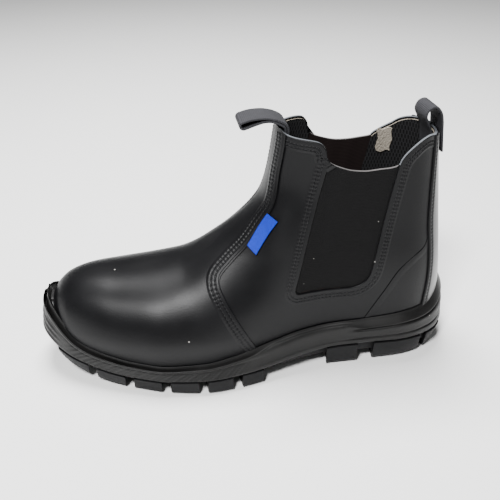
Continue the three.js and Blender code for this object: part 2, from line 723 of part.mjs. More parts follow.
// Ground line of the tread: flat under heel and ball, lifted at the toe and at the back of the heel
const groundHeight = (x) => {
  const toe = clamp((x - HALF_LENGTH + TOE_SPRING_LENGTH) / TOE_SPRING_LENGTH);
  const heel = clamp((HEEL_BEVEL_LENGTH - HALF_LENGTH - x) / HEEL_BEVEL_LENGTH);
  return TOE_SPRING * toe ** 2 + HEEL_BEVEL * heel ** HEEL_BEVEL_POWER;
};
const plateBottom = (x) => {
  const depth = mix(HEEL_TREAD_DEPTH, TREAD_DEPTH, smooth(TREAD_TURN.from, TREAD_TURN.to, shareOf(x)));
  return Math.min(groundHeight(x) + depth, outsoleTopTrack.value(x) - OUTSOLE_PLATE / 2);
};

// One lug seen from below; the slant moves its outer end along the foot
function lugShape({ from, to, slant, inner }, side) {
  const reach = LUG_REACH * BALL_WIDTH;
  const near = (inner * HEEL_WIDTH) / 2;
  const lean = slant * SOLE_LENGTH;
  const middle = bend(alongX((from + to) / 2));
  const points = [
    [alongX(from) - lean * LUG_LEAN.inner, middle + side * near],
    [alongX(to) - lean * LUG_LEAN.inner, middle + side * near],
    [alongX(to) + lean * LUG_LEAN.outer, middle + side * reach],
    [alongX(from) + lean * LUG_LEAN.outer, middle + side * reach],
  ];
  return shapeOf(side > 0 ? points : points.reverse());
}

function centreShape({ from, to, half }) {
  const middle = bend(alongX((from + to) / 2));
  const wide = half * HEEL_WIDTH;
  const notch = BLOCK_POINT * (alongX(to) - alongX(from));
  return shapeOf([
    [alongX(from) + notch, middle - wide],
    [alongX(to) - notch, middle - wide],
    [alongX(to), middle],
    [alongX(to) - notch, middle + wide],
    [alongX(from) + notch, middle + wide],
    [alongX(from), middle],
  ]);
}

function makeOutsole() {
  const gap = CLEARANCE / 2;
  const plateTop = (x) => outsoleTopTrack.value(x) - gap;
  const plateFlare = (x) => edgeFlare.value(x) - LUG_PROUD;
  const lugFlare = (x, level) => mix(treadFlare.value(x), edgeFlare.value(x), level);
  const plate = soleSlab(PLATE_WALL, plateBottom, plateTop, plateFlare);
  const lugBlock = soleSlab(LUG_WALL, groundHeight, (x) => plateTop(x) - LUG_SINK, lugFlare);
  const cutAt = (shape) => planPrism(shape, -OVERRUN, LIP_HEIGHT);
  const prisms = LUGS.flatMap((row) => [1, -1].map((side) => cutAt(lugShape(row, side))));
  CENTRE_BLOCKS.forEach((row) => prisms.push(cutAt(centreShape(row))));
  const pattern = prisms.reduce((sum, prism) => sum.add(prism));
  return plate.add(lugBlock.intersect(pattern));
}

function makeMidsole() {
  const bottom = (x) => outsoleTopTrack.value(x) + CLEARANCE / 2;
  const wallFlare = (x, level) => edgeFlare.value(x) * (1 - level);
  const slab = soleSlab(MIDSOLE_WALL, bottom, (x) => lipTrack.value(x), wallFlare);
  const bumperFoot = LIP_HEIGHT;
  const bumperTop = lipTrack.value(HALF_LENGTH) + BUMPER_RISE;
  const middle = bend(TOE_TIP);
  const foot = BUMPER_WIDTH / 2;
  const head = foot * BUMPER_TAPER;
  const bumperShape = roundedShape([
    { u: middle - foot, v: bumperFoot, round: 0 },
    { u: middle + foot, v: bumperFoot, round: 0 },
    { u: middle + head, v: bumperTop, round: BUMPER_ROUND },
    { u: middle - head, v: bumperTop, round: BUMPER_ROUND },
  ], 0);
  const bumperWall = soleSlab(BUMPER_WALL, () => bumperFoot - OVERRUN, () => bumperTop + OVERRUN);
  const bumper = backPrism(bumperShape, TOE_TIP - 2 * LIP_WIDTH, HALF_LENGTH).intersect(bumperWall);
  const vampSeat = form(VAMP_STEP + CLEARANCE).intersect(aheadOfVampEdge(CLEARANCE));
  const seat = form(CLEARANCE).add(vampSeat).subtract(underDeck(0));
  return slab.add(bumper).subtract(seat);
}

function makeInsole() {
  const slab = underDeck(CLEARANCE + INSOLE_THICKNESS).subtract(underDeck(CLEARANCE));
  return form(-WALL - CLEARANCE).intersect(slab);
}

// The leather upper: one hollow wall, raised ahead of the vamp edge, open at the collar, the windows and underneath
function makeUpper() {
  const vamp = form(VAMP_STEP).intersect(aheadOfVampEdge(0));
  const outside = form(0).add(vamp);
  const hollow = outside.subtract(form(-WALL));
  const trimmed = hollow.subtract(overCollar(0)).subtract(underDeck(CLEARANCE));
  const window = roundedShape(sideCorners(WINDOW), CLEARANCE);
  return trimmed.subtract(sidePrism(window, -OUT_OF_REACH, OUT_OF_REACH));
}

function makeGusset(side) {
  const panel = form(-ELASTIC_RECESS).subtract(form(-WALL)).subtract(overCollar(0));
  const window = roundedShape(sideCorners(WINDOW), 0);
  const prism = side > 0 ? sidePrism(window, 0, OUT_OF_REACH) : sidePrism(window, -OUT_OF_REACH, 0);
  return panel.intersect(prism);
}

function makeBackStrip() {
  const high = FORM_TOP * SHAFT_HEIGHT;
  const outline = [];
  for (let i = 0; i <= STRIP_STEPS; i += 1) {
    const z = mix(0, high, i / STRIP_STEPS);
    outline.push([stripTrack.value(z), z]);
  }
  const mirrored = outline.map(([y, z]) => [-y, z]).reverse();
  const prism = backPrism(shapeOf([...outline, ...mirrored]), -HALF_LENGTH - LIP_WIDTH, alongX(STRIP_REACH));
  const edge = MIDSOLE_WALL[MIDSOLE_WALL.length - 1].inset;
  const belowLip = soleSlab([{ level: 0, inset: edge }, { level: 1, inset: edge }],
    () => -OVERRUN, (x) => lipTrack.value(x) + CLEARANCE);
  const sheet = form(CLEARANCE + STRIP_THICKNESS).subtract(form(CLEARANCE));
  return sheet.intersect(prism).subtract(belowLip).subtract(overCollar(-STRIP_DROP));
}

function makeSideTab() {
  const shape = shapeOf(sidePoints(TAB).reverse());
  const sheet = form(CLEARANCE + TAB_THICKNESS).subtract(form(CLEARANCE));
  return sheet.intersect(sidePrism(shape, 0, OUT_OF_REACH)).subtract(aheadOfVampEdge(CLEARANCE));
}

// Webbing strap: its middle line seen from the side, given a thickness and a width
function strap(rows, thickness) {
  const line = smoothPoints(rows, 2 * CURVE_STEPS);
  const sides = [1, -1].map((sign) => line.map((point, i) => {
    const next = line[Math.min(i + 1, line.length - 1)];
    const last = line[Math.max(i - 1, 0)];
    const length = Math.hypot(next[0] - last[0], next[1] - last[1]);
    const across = [-(next[1] - last[1]) / length, (next[0] - last[0]) / length];
    return [point[0] + (sign * across[0] * thickness) / 2, point[1] + (sign * across[1] * thickness) / 2];
  }));
  const outline = [...sides[0], ...sides[1].reverse()].reverse();
  return sidePrism(shapeOf(outline), -WEBBING_WIDTH / 2, WEBBING_WIDTH / 2);
}

// The leather wall with its clearance, which a strap may not enter
function wallZone() {
  const outer = form(VAMP_STEP + 2 * CLEARANCE);
  return outer.subtract(form(-WALL - CLEARANCE)).subtract(overCollar(CLEARANCE));
}

const makeFrontLoop = () => strap(FRONT_LOOP, 2 * WEBBING_THICKNESS).subtract(wallZone());
const makeRearLoop = () => strap(REAR_LOOP, WEBBING_THICKNESS).subtract(wallZone());

// Finishes
const leather = new THREE.MeshStandardMaterial({ color: 0x1b1b1d, roughness: 0.38, metalness: 0 });
const soleFoam = new THREE.MeshStandardMaterial({ color: 0x2a2a2c, roughness: 0.8, metalness: 0 });
const treadRubber = new THREE.MeshStandardMaterial({ color: 0x232325, roughness: 0.85, metalness: 0 });
const elastic = new THREE.MeshStandardMaterial({ color: 0x0e0e10, roughness: 0.95, metalness: 0 });
const webbing = new THREE.MeshStandardMaterial({ color: 0x26262b, roughness: 0.9, metalness: 0 });
const tabCloth = new THREE.MeshStandardMaterial({ color: 0x2f63d6, roughness: 0.7, metalness: 0 });
const insoleCloth = new THREE.MeshStandardMaterial({ color: 0x161416, roughness: 0.95, metalness: 0 });

function meshOf(name, solid, material) {
  const { vertProperties, triVerts, numProp } = solid.getMesh();
  const geometry = new THREE.BufferGeometry();
  const positions = new Float32Array((vertProperties.length / numProp) * 3);
  for (let i = 0; i < positions.length / 3; i += 1) {
    positions.set(vertProperties.subarray(i * numProp, i * numProp + 3), i * 3);
  }
  geometry.setAttribute('position', new THREE.BufferAttribute(positions, 3));
  geometry.setIndex(new THREE.BufferAttribute(new Uint32Array(triVerts), 1));
  geometry.computeVertexNormals();
  const mesh = new THREE.Mesh(geometry, material);
  mesh.name = name;
  return mesh;
}

const boot = new THREE.Group();
boot.add(
  meshOf('outsole', makeOutsole(), treadRubber),
  meshOf('midsole', makeMidsole(), soleFoam),
  meshOf('insole', makeInsole(), insoleCloth),
  meshOf('upper', makeUpper(), leather),
  meshOf('gusset_lateral', makeGusset(1), elastic),
  meshOf('gusset_medial', makeGusset(-1), elastic),
  meshOf('back_strip', makeBackStrip(), leather),
  meshOf('pull_loop_front', makeFrontLoop(), webbing),
  meshOf('pull_loop_rear', makeRearLoop(), webbing),
  meshOf('side_tab', makeSideTab(), tabCloth),
);

// The origin is the middle of the boot's box on the floor
const box = new THREE.Box3().setFromObject(boot);
boot.position.set(-(box.min.x + box.max.x) / 2, -(box.min.y + box.max.y) / 2, -box.min.z);

export default boot;
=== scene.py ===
"""Pull-on safety boot for the left foot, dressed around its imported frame.

Everything is in metres. +X points to the toe, +Y to the outer side of the foot and +Z up, and the tread
stands on z = 0. Heights and places are shares of the boot's named sizes, as a pattern maker writes them.
"""
from __future__ import annotations

import logging
import math
from dataclasses import dataclass, field
from enum import Enum
from typing import Callable, NamedTuple, Sequence

import bpy
import numpy as np
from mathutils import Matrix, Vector


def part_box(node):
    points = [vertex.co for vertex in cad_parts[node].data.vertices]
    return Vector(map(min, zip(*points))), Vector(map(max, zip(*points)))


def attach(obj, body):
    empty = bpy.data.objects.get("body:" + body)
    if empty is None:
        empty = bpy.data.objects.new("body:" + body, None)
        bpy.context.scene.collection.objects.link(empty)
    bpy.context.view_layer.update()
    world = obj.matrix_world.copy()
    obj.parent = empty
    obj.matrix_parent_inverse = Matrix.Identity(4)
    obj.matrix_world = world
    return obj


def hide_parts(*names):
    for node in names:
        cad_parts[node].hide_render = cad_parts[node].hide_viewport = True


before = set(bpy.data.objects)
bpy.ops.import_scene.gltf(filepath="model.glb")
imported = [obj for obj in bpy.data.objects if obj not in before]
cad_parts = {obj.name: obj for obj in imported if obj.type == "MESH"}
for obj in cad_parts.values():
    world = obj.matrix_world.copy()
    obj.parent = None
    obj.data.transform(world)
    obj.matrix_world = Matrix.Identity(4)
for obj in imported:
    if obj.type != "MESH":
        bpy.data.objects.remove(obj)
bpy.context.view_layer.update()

LOG = logging.getLogger("boot")
BODY = "root"
Array = np.ndarray
Points = Sequence[tuple[float, float]]


class Side(Enum):
    """The two sides of the left boot."""

    OUTER = 1
    INNER = -1


class Cut(Enum):
    """What a cutter does to a piece."""

    AWAY = "DIFFERENCE"
    KEEP = "INTERSECT"
    JOIN = "UNION"


# Sizes of the boot
SOLE_LENGTH = 0.292
HALF_LENGTH = SOLE_LENGTH / 2
BALL_WIDTH = 0.098
HEEL_WIDTH = 0.0755
COLLAR_WIDTH = 0.058
SHAFT_HEIGHT = 0.171
TOE_HEIGHT = 0.075
LIP_HEIGHT = 0.034
LIP_WIDTH = 0.005
LIP_TUCK = 0.004
TOE_BEND = 0.008
WALL = 0.0024
VAMP_STEP = 0.0011
ELASTIC_RECESS = 0.0009
WEBBING_WIDTH = 0.020
WEBBING_THICKNESS = 0.0016
FAR = SHAFT_HEIGHT
PITCH = 0.0026
PLAY = 0.00015
SHIN_TURN = (0.515, 0.807)
COLOR_INPUTS = (6, 7)
COLOR_OUTPUT = 2


class PlanRow(NamedTuple):
    """Half widths at a place along the foot, as shares of the width there."""

    at: float
    outer: float
    inner: float


class HeightRow(NamedTuple):
    """A height at a place along the foot; round is the corner's reach in metres."""

    at: float
    height: float
    round: float = 0.0


class RidgeRow(NamedTuple):
    """Ridge height at a place, as shares of the toe and shaft heights."""

    at: float
    toe: float
    shaft: float


class CollarRow(NamedTuple):
    """Height of the collar's edge at a place, and how far the inner side sags below it."""

    at: float
    height: float
    sag: float = 0.0


class FlareRow(NamedTuple):
    """How far the sole stands out past the lip, in lip widths: at the outsole's edge and on the ground."""

    at: float
    edge: float
    tread: float


class WallLine(NamedTuple):
    """One line along the midsole's wall: inset in lip widths and share of the height, in three zones."""

    fore: tuple[float, float]
    waist: tuple[float, float]
    heel: tuple[float, float]


class WallRow(NamedTuple):
    """How far the sole's wall lies inside the lip, in lip widths, at a level of its height."""

    level: float
    inset: float


class LugRow(NamedTuple):
    """One pair of edge lugs, in shares of the length and of half the heel width."""

    start: float
    stop: float
    slant: float
    inner: float


PLAN = (
    PlanRow(0.012, 0.517, 0.483), PlanRow(0.135, 0.517, 0.483), PlanRow(0.248, 0.497, 0.457),
    PlanRow(0.350, 0.469, 0.418), PlanRow(0.443, 0.460, 0.392), PlanRow(0.535, 0.481, 0.409),
    PlanRow(0.631, 0.515, 0.459), PlanRow(0.716, 0.510, 0.485), PlanRow(0.791, 0.474, 0.485),
    PlanRow(0.863, 0.444, 0.469), PlanRow(0.928, 0.423, 0.449), PlanRow(0.983, 0.398, 0.418),
)
LIP_LINE = (
    HeightRow(0.000, 1.65), HeightRow(0.012, 1.53), HeightRow(0.036, 1.37), HeightRow(0.063, 1.27),
    HeightRow(0.088, 1.235), HeightRow(0.124, 1.200), HeightRow(0.163, 1.145), HeightRow(0.248, 1.060),
    HeightRow(0.337, 0.975), HeightRow(0.402, 0.912), HeightRow(0.443, 0.845), HeightRow(0.504, 0.765),
    HeightRow(0.552, 0.690), HeightRow(0.627, 0.620), HeightRow(0.699, 0.612), HeightRow(0.791, 0.655),
    HeightRow(0.863, 0.745), HeightRow(0.905, 0.830), HeightRow(0.928, 0.930), HeightRow(0.945, 1.060),
    HeightRow(0.962, 1.230), HeightRow(0.979, 1.400), HeightRow(0.997, 1.550),
)
OUTSOLE_TOP = (
    HeightRow(0.00, 0.50), HeightRow(0.26, 0.50), HeightRow(0.36, 0.43), HeightRow(0.50, 0.33),
    HeightRow(0.62, 0.31), HeightRow(0.80, 0.33), HeightRow(0.92, 0.50), HeightRow(1.00, 0.78),
)
FLARE = (
    FlareRow(0.00, 0.85, 0.10), FlareRow(0.03, 0.72, 0.00), FlareRow(0.08, 0.15, -0.40),
    FlareRow(0.13, -0.05, -0.50), FlareRow(0.20, 0.00, -0.25), FlareRow(0.25, 0.15, 0.10),
    FlareRow(0.35, 0.40, 0.55), FlareRow(0.49, 0.75, 1.00), FlareRow(0.57, 0.80, 1.10),
    FlareRow(0.65, 0.60, 0.80), FlareRow(0.73, 0.25, 0.10), FlareRow(0.81, 0.10, -0.20),
    FlareRow(0.90, 0.20, -0.40), FlareRow(0.95, 0.50, -0.20), FlareRow(1.00, 0.85, -0.20),
)
WALL_LINES = (
    WallLine((0.28, 0.00), (0.28, 0.00), (0.30, 0.00)),
    WallLine((0.12, 0.03), (0.10, 0.04), (0.12, 0.04)),
    WallLine((0.06, 0.10), (0.02, 0.12), (0.04, 0.11)),
    WallLine((0.06, 0.22), (0.00, 0.20), (0.03, 0.20)),
    WallLine((0.06, 0.34), (0.06, 0.27), (0.20, 0.25)),
    WallLine((0.06, 0.46), (0.09, 0.36), (0.04, 0.30)),
    WallLine((0.06, 0.58), (0.10, 0.46), (0.01, 0.44)),
    WallLine((0.08, 0.68), (0.08, 0.58), (0.03, 0.57)),
    WallLine((-0.03, 0.76), (0.05, 0.70), (0.29, 0.63)),
    WallLine((-0.02, 0.83), (0.06, 0.80), (0.26, 0.68)),
    WallLine((0.07, 0.84), (0.14, 0.88), (-0.03, 0.72)),
    WallLine((0.22, 0.64), (0.28, 0.93), (0.05, 0.77)),
    WallLine((0.42, 0.60), (0.46, 0.95), (0.34, 0.86)),
    WallLine((0.52, 0.80), (0.60, 0.98), (0.62, 0.94)),
    WallLine((0.59, 1.00), (0.72, 1.03), (0.80, 1.00)),
    WallLine((0.67, 1.02), (0.82, 1.02), (0.90, 1.00)),
    WallLine((0.75, 0.94), (0.92, 0.94), (0.97, 0.95)),
    WallLine((1.10, 0.84), (1.20, 0.84), (1.20, 0.88)),
)
RIDGE = (
    RidgeRow(0.357, 0, 1.93), RidgeRow(0.409, 0, 1.345), RidgeRow(0.436, 0, 0.965),
    RidgeRow(0.451, 0, 0.803), RidgeRow(0.465, 0, 0.720), RidgeRow(0.501, 0, 0.638),
    RidgeRow(0.556, 0.022, 0.551), RidgeRow(0.665, 0.490, 0.2325), RidgeRow(0.781, 0.932, 0),
    RidgeRow(0.836, 0.914, 0), RidgeRow(1.000, 0.906, 0),
)
INSTEP_ROW = 7
BACK = (
    HeightRow(0.0120, 0.100), HeightRow(0.0120, 0.199), HeightRow(0.0137, 0.298), HeightRow(0.0274, 0.485),
    HeightRow(0.0462, 0.702), HeightRow(0.0684, 0.953), HeightRow(0.0810, 1.120),
)
COLLAR = (
    CollarRow(0.520, 1.005), CollarRow(0.436, 1.000), CollarRow(0.422, 0.985),
    CollarRow(0.357, 0.973), CollarRow(0.345, 0.950), CollarRow(0.338, 0.905),
    CollarRow(0.299, 0.872), CollarRow(0.261, 0.860), CollarRow(0.220, 0.863),
    CollarRow(0.181, 0.873), CollarRow(0.174, 0.897, 0.014), CollarRow(0.162, 0.925, 0.030),
    CollarRow(0.135, 0.962, 0.042), CollarRow(0.111, 0.974, 0.026), CollarRow(0.084, 0.963),
    CollarRow(-0.05, 0.955),
)
VAMP_EDGE = (
    HeightRow(0.4225, 1.080), HeightRow(0.4250, 0.965), HeightRow(0.4350, 0.848), HeightRow(0.4490, 0.719),
    HeightRow(0.4800, 0.632), HeightRow(0.5145, 0.556), HeightRow(0.5520, 0.497), HeightRow(0.5795, 0.450),
    HeightRow(0.5810, 0.421), HeightRow(0.5730, 0.386), HeightRow(0.5520, 0.316), HeightRow(0.5080, 0.170),
    HeightRow(0.4670, 0.000),
)
WINDOW = (
    HeightRow(0.2830, 1.30), HeightRow(0.4100, 0.364, 0.005), HeightRow(0.2315, 0.372, 0.014),
    HeightRow(0.1350, 1.30),
)
COUNTER_SEAM = (
    HeightRow(0.0850, 0.560), HeightRow(0.0960, 0.525), HeightRow(0.1260, 0.490), HeightRow(0.1580, 0.440),
    HeightRow(0.1900, 0.345), HeightRow(0.2250, 0.235), HeightRow(0.2500, 0.150),
)
STRIP = (
    HeightRow(0.470, 0.20), HeightRow(0.452, 0.30), HeightRow(0.384, 0.57), HeightRow(0.331, 0.75),
    HeightRow(0.278, 0.94), HeightRow(0.250, 1.10),
)
TAB = (
    HeightRow(0.4608, 0.677), HeightRow(0.4420, 0.662), HeightRow(0.4935, 0.530), HeightRow(0.5105, 0.557),
)
FRONT_LOOP = (
    HeightRow(0.4253, 0.880), HeightRow(0.4183, 0.955), HeightRow(0.4190, 1.004), HeightRow(0.4360, 1.025),
    HeightRow(0.4620, 1.035), HeightRow(0.4900, 1.029), HeightRow(0.5120, 1.018),
)
REAR_LOOP = (
    HeightRow(0.0795, 0.880), HeightRow(0.0855, 0.950), HeightRow(0.0960, 0.988), HeightRow(0.1030, 1.016),
    HeightRow(0.0970, 1.042), HeightRow(0.0830, 1.050), HeightRow(0.0700, 1.030), HeightRow(0.0632, 0.995),
    HeightRow(0.0600, 0.955), HeightRow(0.0562, 0.910), HeightRow(0.0529, 0.870),
)
LUGS = (
    LugRow(0.008, 0.060, 0.00, 0.10), LugRow(0.078, 0.202, 0.03, 0.45), LugRow(0.240, 0.318, 0.05, 0.30),
    LugRow(0.492, 0.546, -0.02, 0.32), LugRow(0.570, 0.630, -0.02, 0.32), LugRow(0.652, 0.716, -0.02, 0.32),
    LugRow(0.738, 0.800, -0.02, 0.32), LugRow(0.822, 0.884, -0.03, 0.32), LugRow(0.906, 0.966, -0.05, 0.20),
)
CENTRE_BLOCKS = (
    LugRow(0.090, 0.190, 0, 0.14), LugRow(0.515, 0.560, 0, 0.16), LugRow(0.592, 0.640, 0, 0.17),
    LugRow(0.674, 0.724, 0, 0.17), LugRow(0.760, 0.808, 0, 0.16), LugRow(0.842, 0.884, 0, 0.14),
)


def mix(first: Array | float, last: Array | float, share: Array | float) -> Array | float:
    """Value between two values."""
    return first + (last - first) * share


def smooth(start: float, stop: float, value: Array | float) -> Array:
    """Smooth step from 0 at start to 1 at stop."""
    share = np.clip((np.asarray(value, float) - start) / (stop - start), 0, 1)
    return share * share * (3 - 2 * share)


def round_off(value: Array | float, power: float) -> Array:
    """Rounded closing: 1 at 0, and 0 with an upright end at 1."""
    return (1 - np.clip(value, 0, 1) ** power) ** (1 / power)


def along(share: Array | float) -> Array | float:
    """Place on the X axis of a share of the sole's length."""
    return (share - 0.5) * SOLE_LENGTH


def share_of(x: Array | float) -> Array | float:
    """Share of the sole's length at a place on the X axis."""
    return x / SOLE_LENGTH + 0.5


def side_points(rows: Sequence[HeightRow]) -> list[tuple[float, float]]:
    """Side-view points, X and Z, of table rows."""
    return [(along(row.at), row.height * SHAFT_HEIGHT) for row in rows]


class Track:
    """Smooth curve through table rows that neither overshoots nor rings between them."""

    def __init__(self, places: Sequence[float], values: Sequence[float]) -> None:
        """Sort the rows and set the slope at each, level where the values turn back."""
        order = np.argsort(places)
        self.places = np.asarray(places, float)[order]
        self.values = np.asarray(values, float)[order]
        self.steps = np.diff(self.places)
        slopes = np.diff(self.values) / self.steps
        self.tangents = np.zeros(len(self.places))
        self.tangents[0] = slopes[0]
        self.tangents[-1] = slopes[-1]
        for i in range(1, len(self.places) - 1):
            if slopes[i - 1] * slopes[i] > 0:
                before = 2 * self.steps[i] + self.steps[i - 1]
                after = self.steps[i] + 2 * self.steps[i - 1]
                self.tangents[i] = (before + after) / (before / slopes[i - 1] + after / slopes[i])

    def __call__(self, at: Array | float) -> Array:
        """Value of the curve.

        Args:
            at: places to read it at; outside the table its end values hold.

        Returns:
            The values, in the shape of the places.
        """
        inside = np.clip(np.asarray(at, float), self.places[0], self.places[-1])
        i = np.clip(np.searchsorted(self.places, inside) - 1, 0, len(self.steps) - 1)
        step = self.steps[i]
        t = (inside - self.places[i]) / step
        return ((1 + 2 * t) * (1 - t) ** 2 * self.values[i] + t * (1 - t) ** 2 * step * self.tangents[i]
                + t * t * (3 - 2 * t) * self.values[i + 1] + t * t * (t - 1) * step * self.tangents[i + 1])


def even_line(points: Sequence[Sequence[float]], count: int) -> Array:
    """Points at equal steps along a line.

    Args:
        points: corners of the line, in two or three dimensions.
        count: number of points wanted.

    Returns:
        An array of count points.
    """
    line = np.asarray(points, float)
    lengths = np.concatenate([[0], np.cumsum(np.linalg.norm(np.diff(line, axis=0), axis=1))])
    wanted = np.linspace(0, lengths[-1], count)
    return np.stack([np.interp(wanted, lengths, line[:, axis]) for axis in range(line.shape[1])], axis=1)


def blendable_curve(knots: Sequence[tuple[float, float]], steps: int) -> Array:
    """Curve with as many points between each two knots, so that curves can be mixed point by point.

    Args:
        knots: the points that it passes.
        steps: points from one knot to the next.

    Returns:
        The curve's points.
    """
    ends = np.asarray(knots, float)
    ends = np.vstack([2 * ends[0] - ends[1], ends, 2 * ends[-1] - ends[-2]])
    t = np.linspace(0, 1, steps, endpoint=False)[:, None]
    pieces = [0.5 * (2 * b + (c - a) * t + (2 * a - 5 * b + 4 * c - d) * t ** 2
                     + (3 * b - a - 3 * c + d) * t ** 3)
              for a, b, c, d in zip(ends, ends[1:], ends[2:], ends[3:])]
    return np.vstack([*pieces, ends[-2:-1]])


def travelled_along(points: Array) -> Array:
    """Length from the start of a line to each of its points."""
    return np.concatenate([[0], np.cumsum(np.linalg.norm(np.diff(points, axis=0), axis=1))])


def outward_ways(outline: Array) -> Array:
    """Outward directions of a plan outline that runs from the back round to the front."""
    way = np.gradient(outline, axis=0)
    way[0] = way[-1] = (0, 1)
    outward = np.stack([-way[:, 1], way[:, 0]], axis=1)
    return outward / np.linalg.norm(outward, axis=1)[:, None]


def line_length(points: Array) -> float:
    """Length of a line through points."""
    return float(np.linalg.norm(np.diff(points, axis=0), axis=1).sum())


def flowing_line(points: Points, count: int) -> Array:
    """Centripetal curve through side-view points, at equal steps.

    Args:
        points: the points that the curve passes.
        count: number of points wanted.

    Returns:
        An array of count points.
    """
    knots = np.asarray(points, float)
    knots = np.vstack([2 * knots[0] - knots[1], knots, 2 * knots[-1] - knots[-2]])
    pieces = []
    for a, b, c, d in zip(knots, knots[1:], knots[2:], knots[3:]):
        t0 = 0.0
        t1 = t0 + math.sqrt(np.linalg.norm(b - a))
        t2 = t1 + math.sqrt(np.linalg.norm(c - b))
        t3 = t2 + math.sqrt(np.linalg.norm(d - c))
        t = np.linspace(t1, t2, 24, endpoint=False)[:, None]
        ab = a + (b - a) * (t - t0) / (t1 - t0)
        bc = b + (c - b) * (t - t1) / (t2 - t1)
        cd = c + (d - c) * (t - t2) / (t3 - t2)
        abc = ab + (bc - ab) * (t - t0) / (t2 - t0)
        bcd = bc + (cd - bc) * (t - t1) / (t3 - t1)
        pieces.append(abc + (bcd - abc) * (t - t1) / (t2 - t1))
    return even_line(np.vstack([*pieces, knots[-2:-1]]), count)


def rounded_line(rows: Sequence[HeightRow], steps: int = 10) -> Array:
    """Open side-view line through corner rows, with their corners rounded.

    Args:
        rows: the corners, each with the reach of its rounding.
        steps: points in each round corner.

    Returns:
        The line's points.
    """
    corners = np.asarray(side_points(rows))
    line = [corners[0]]
    for before, corner, after, row in zip(corners, corners[1:], corners[2:], rows[1:]):
        back = (before - corner) / np.linalg.norm(before - corner)
        ahead = (after - corner) / np.linalg.norm(after - corner)
        for t in np.linspace(0, 1, steps):
            first = corner + back * row.round * (1 - t)
            second = corner + ahead * row.round * t
            line.append(first + (second - first) * t)
    return np.asarray([*line, corners[-1]])


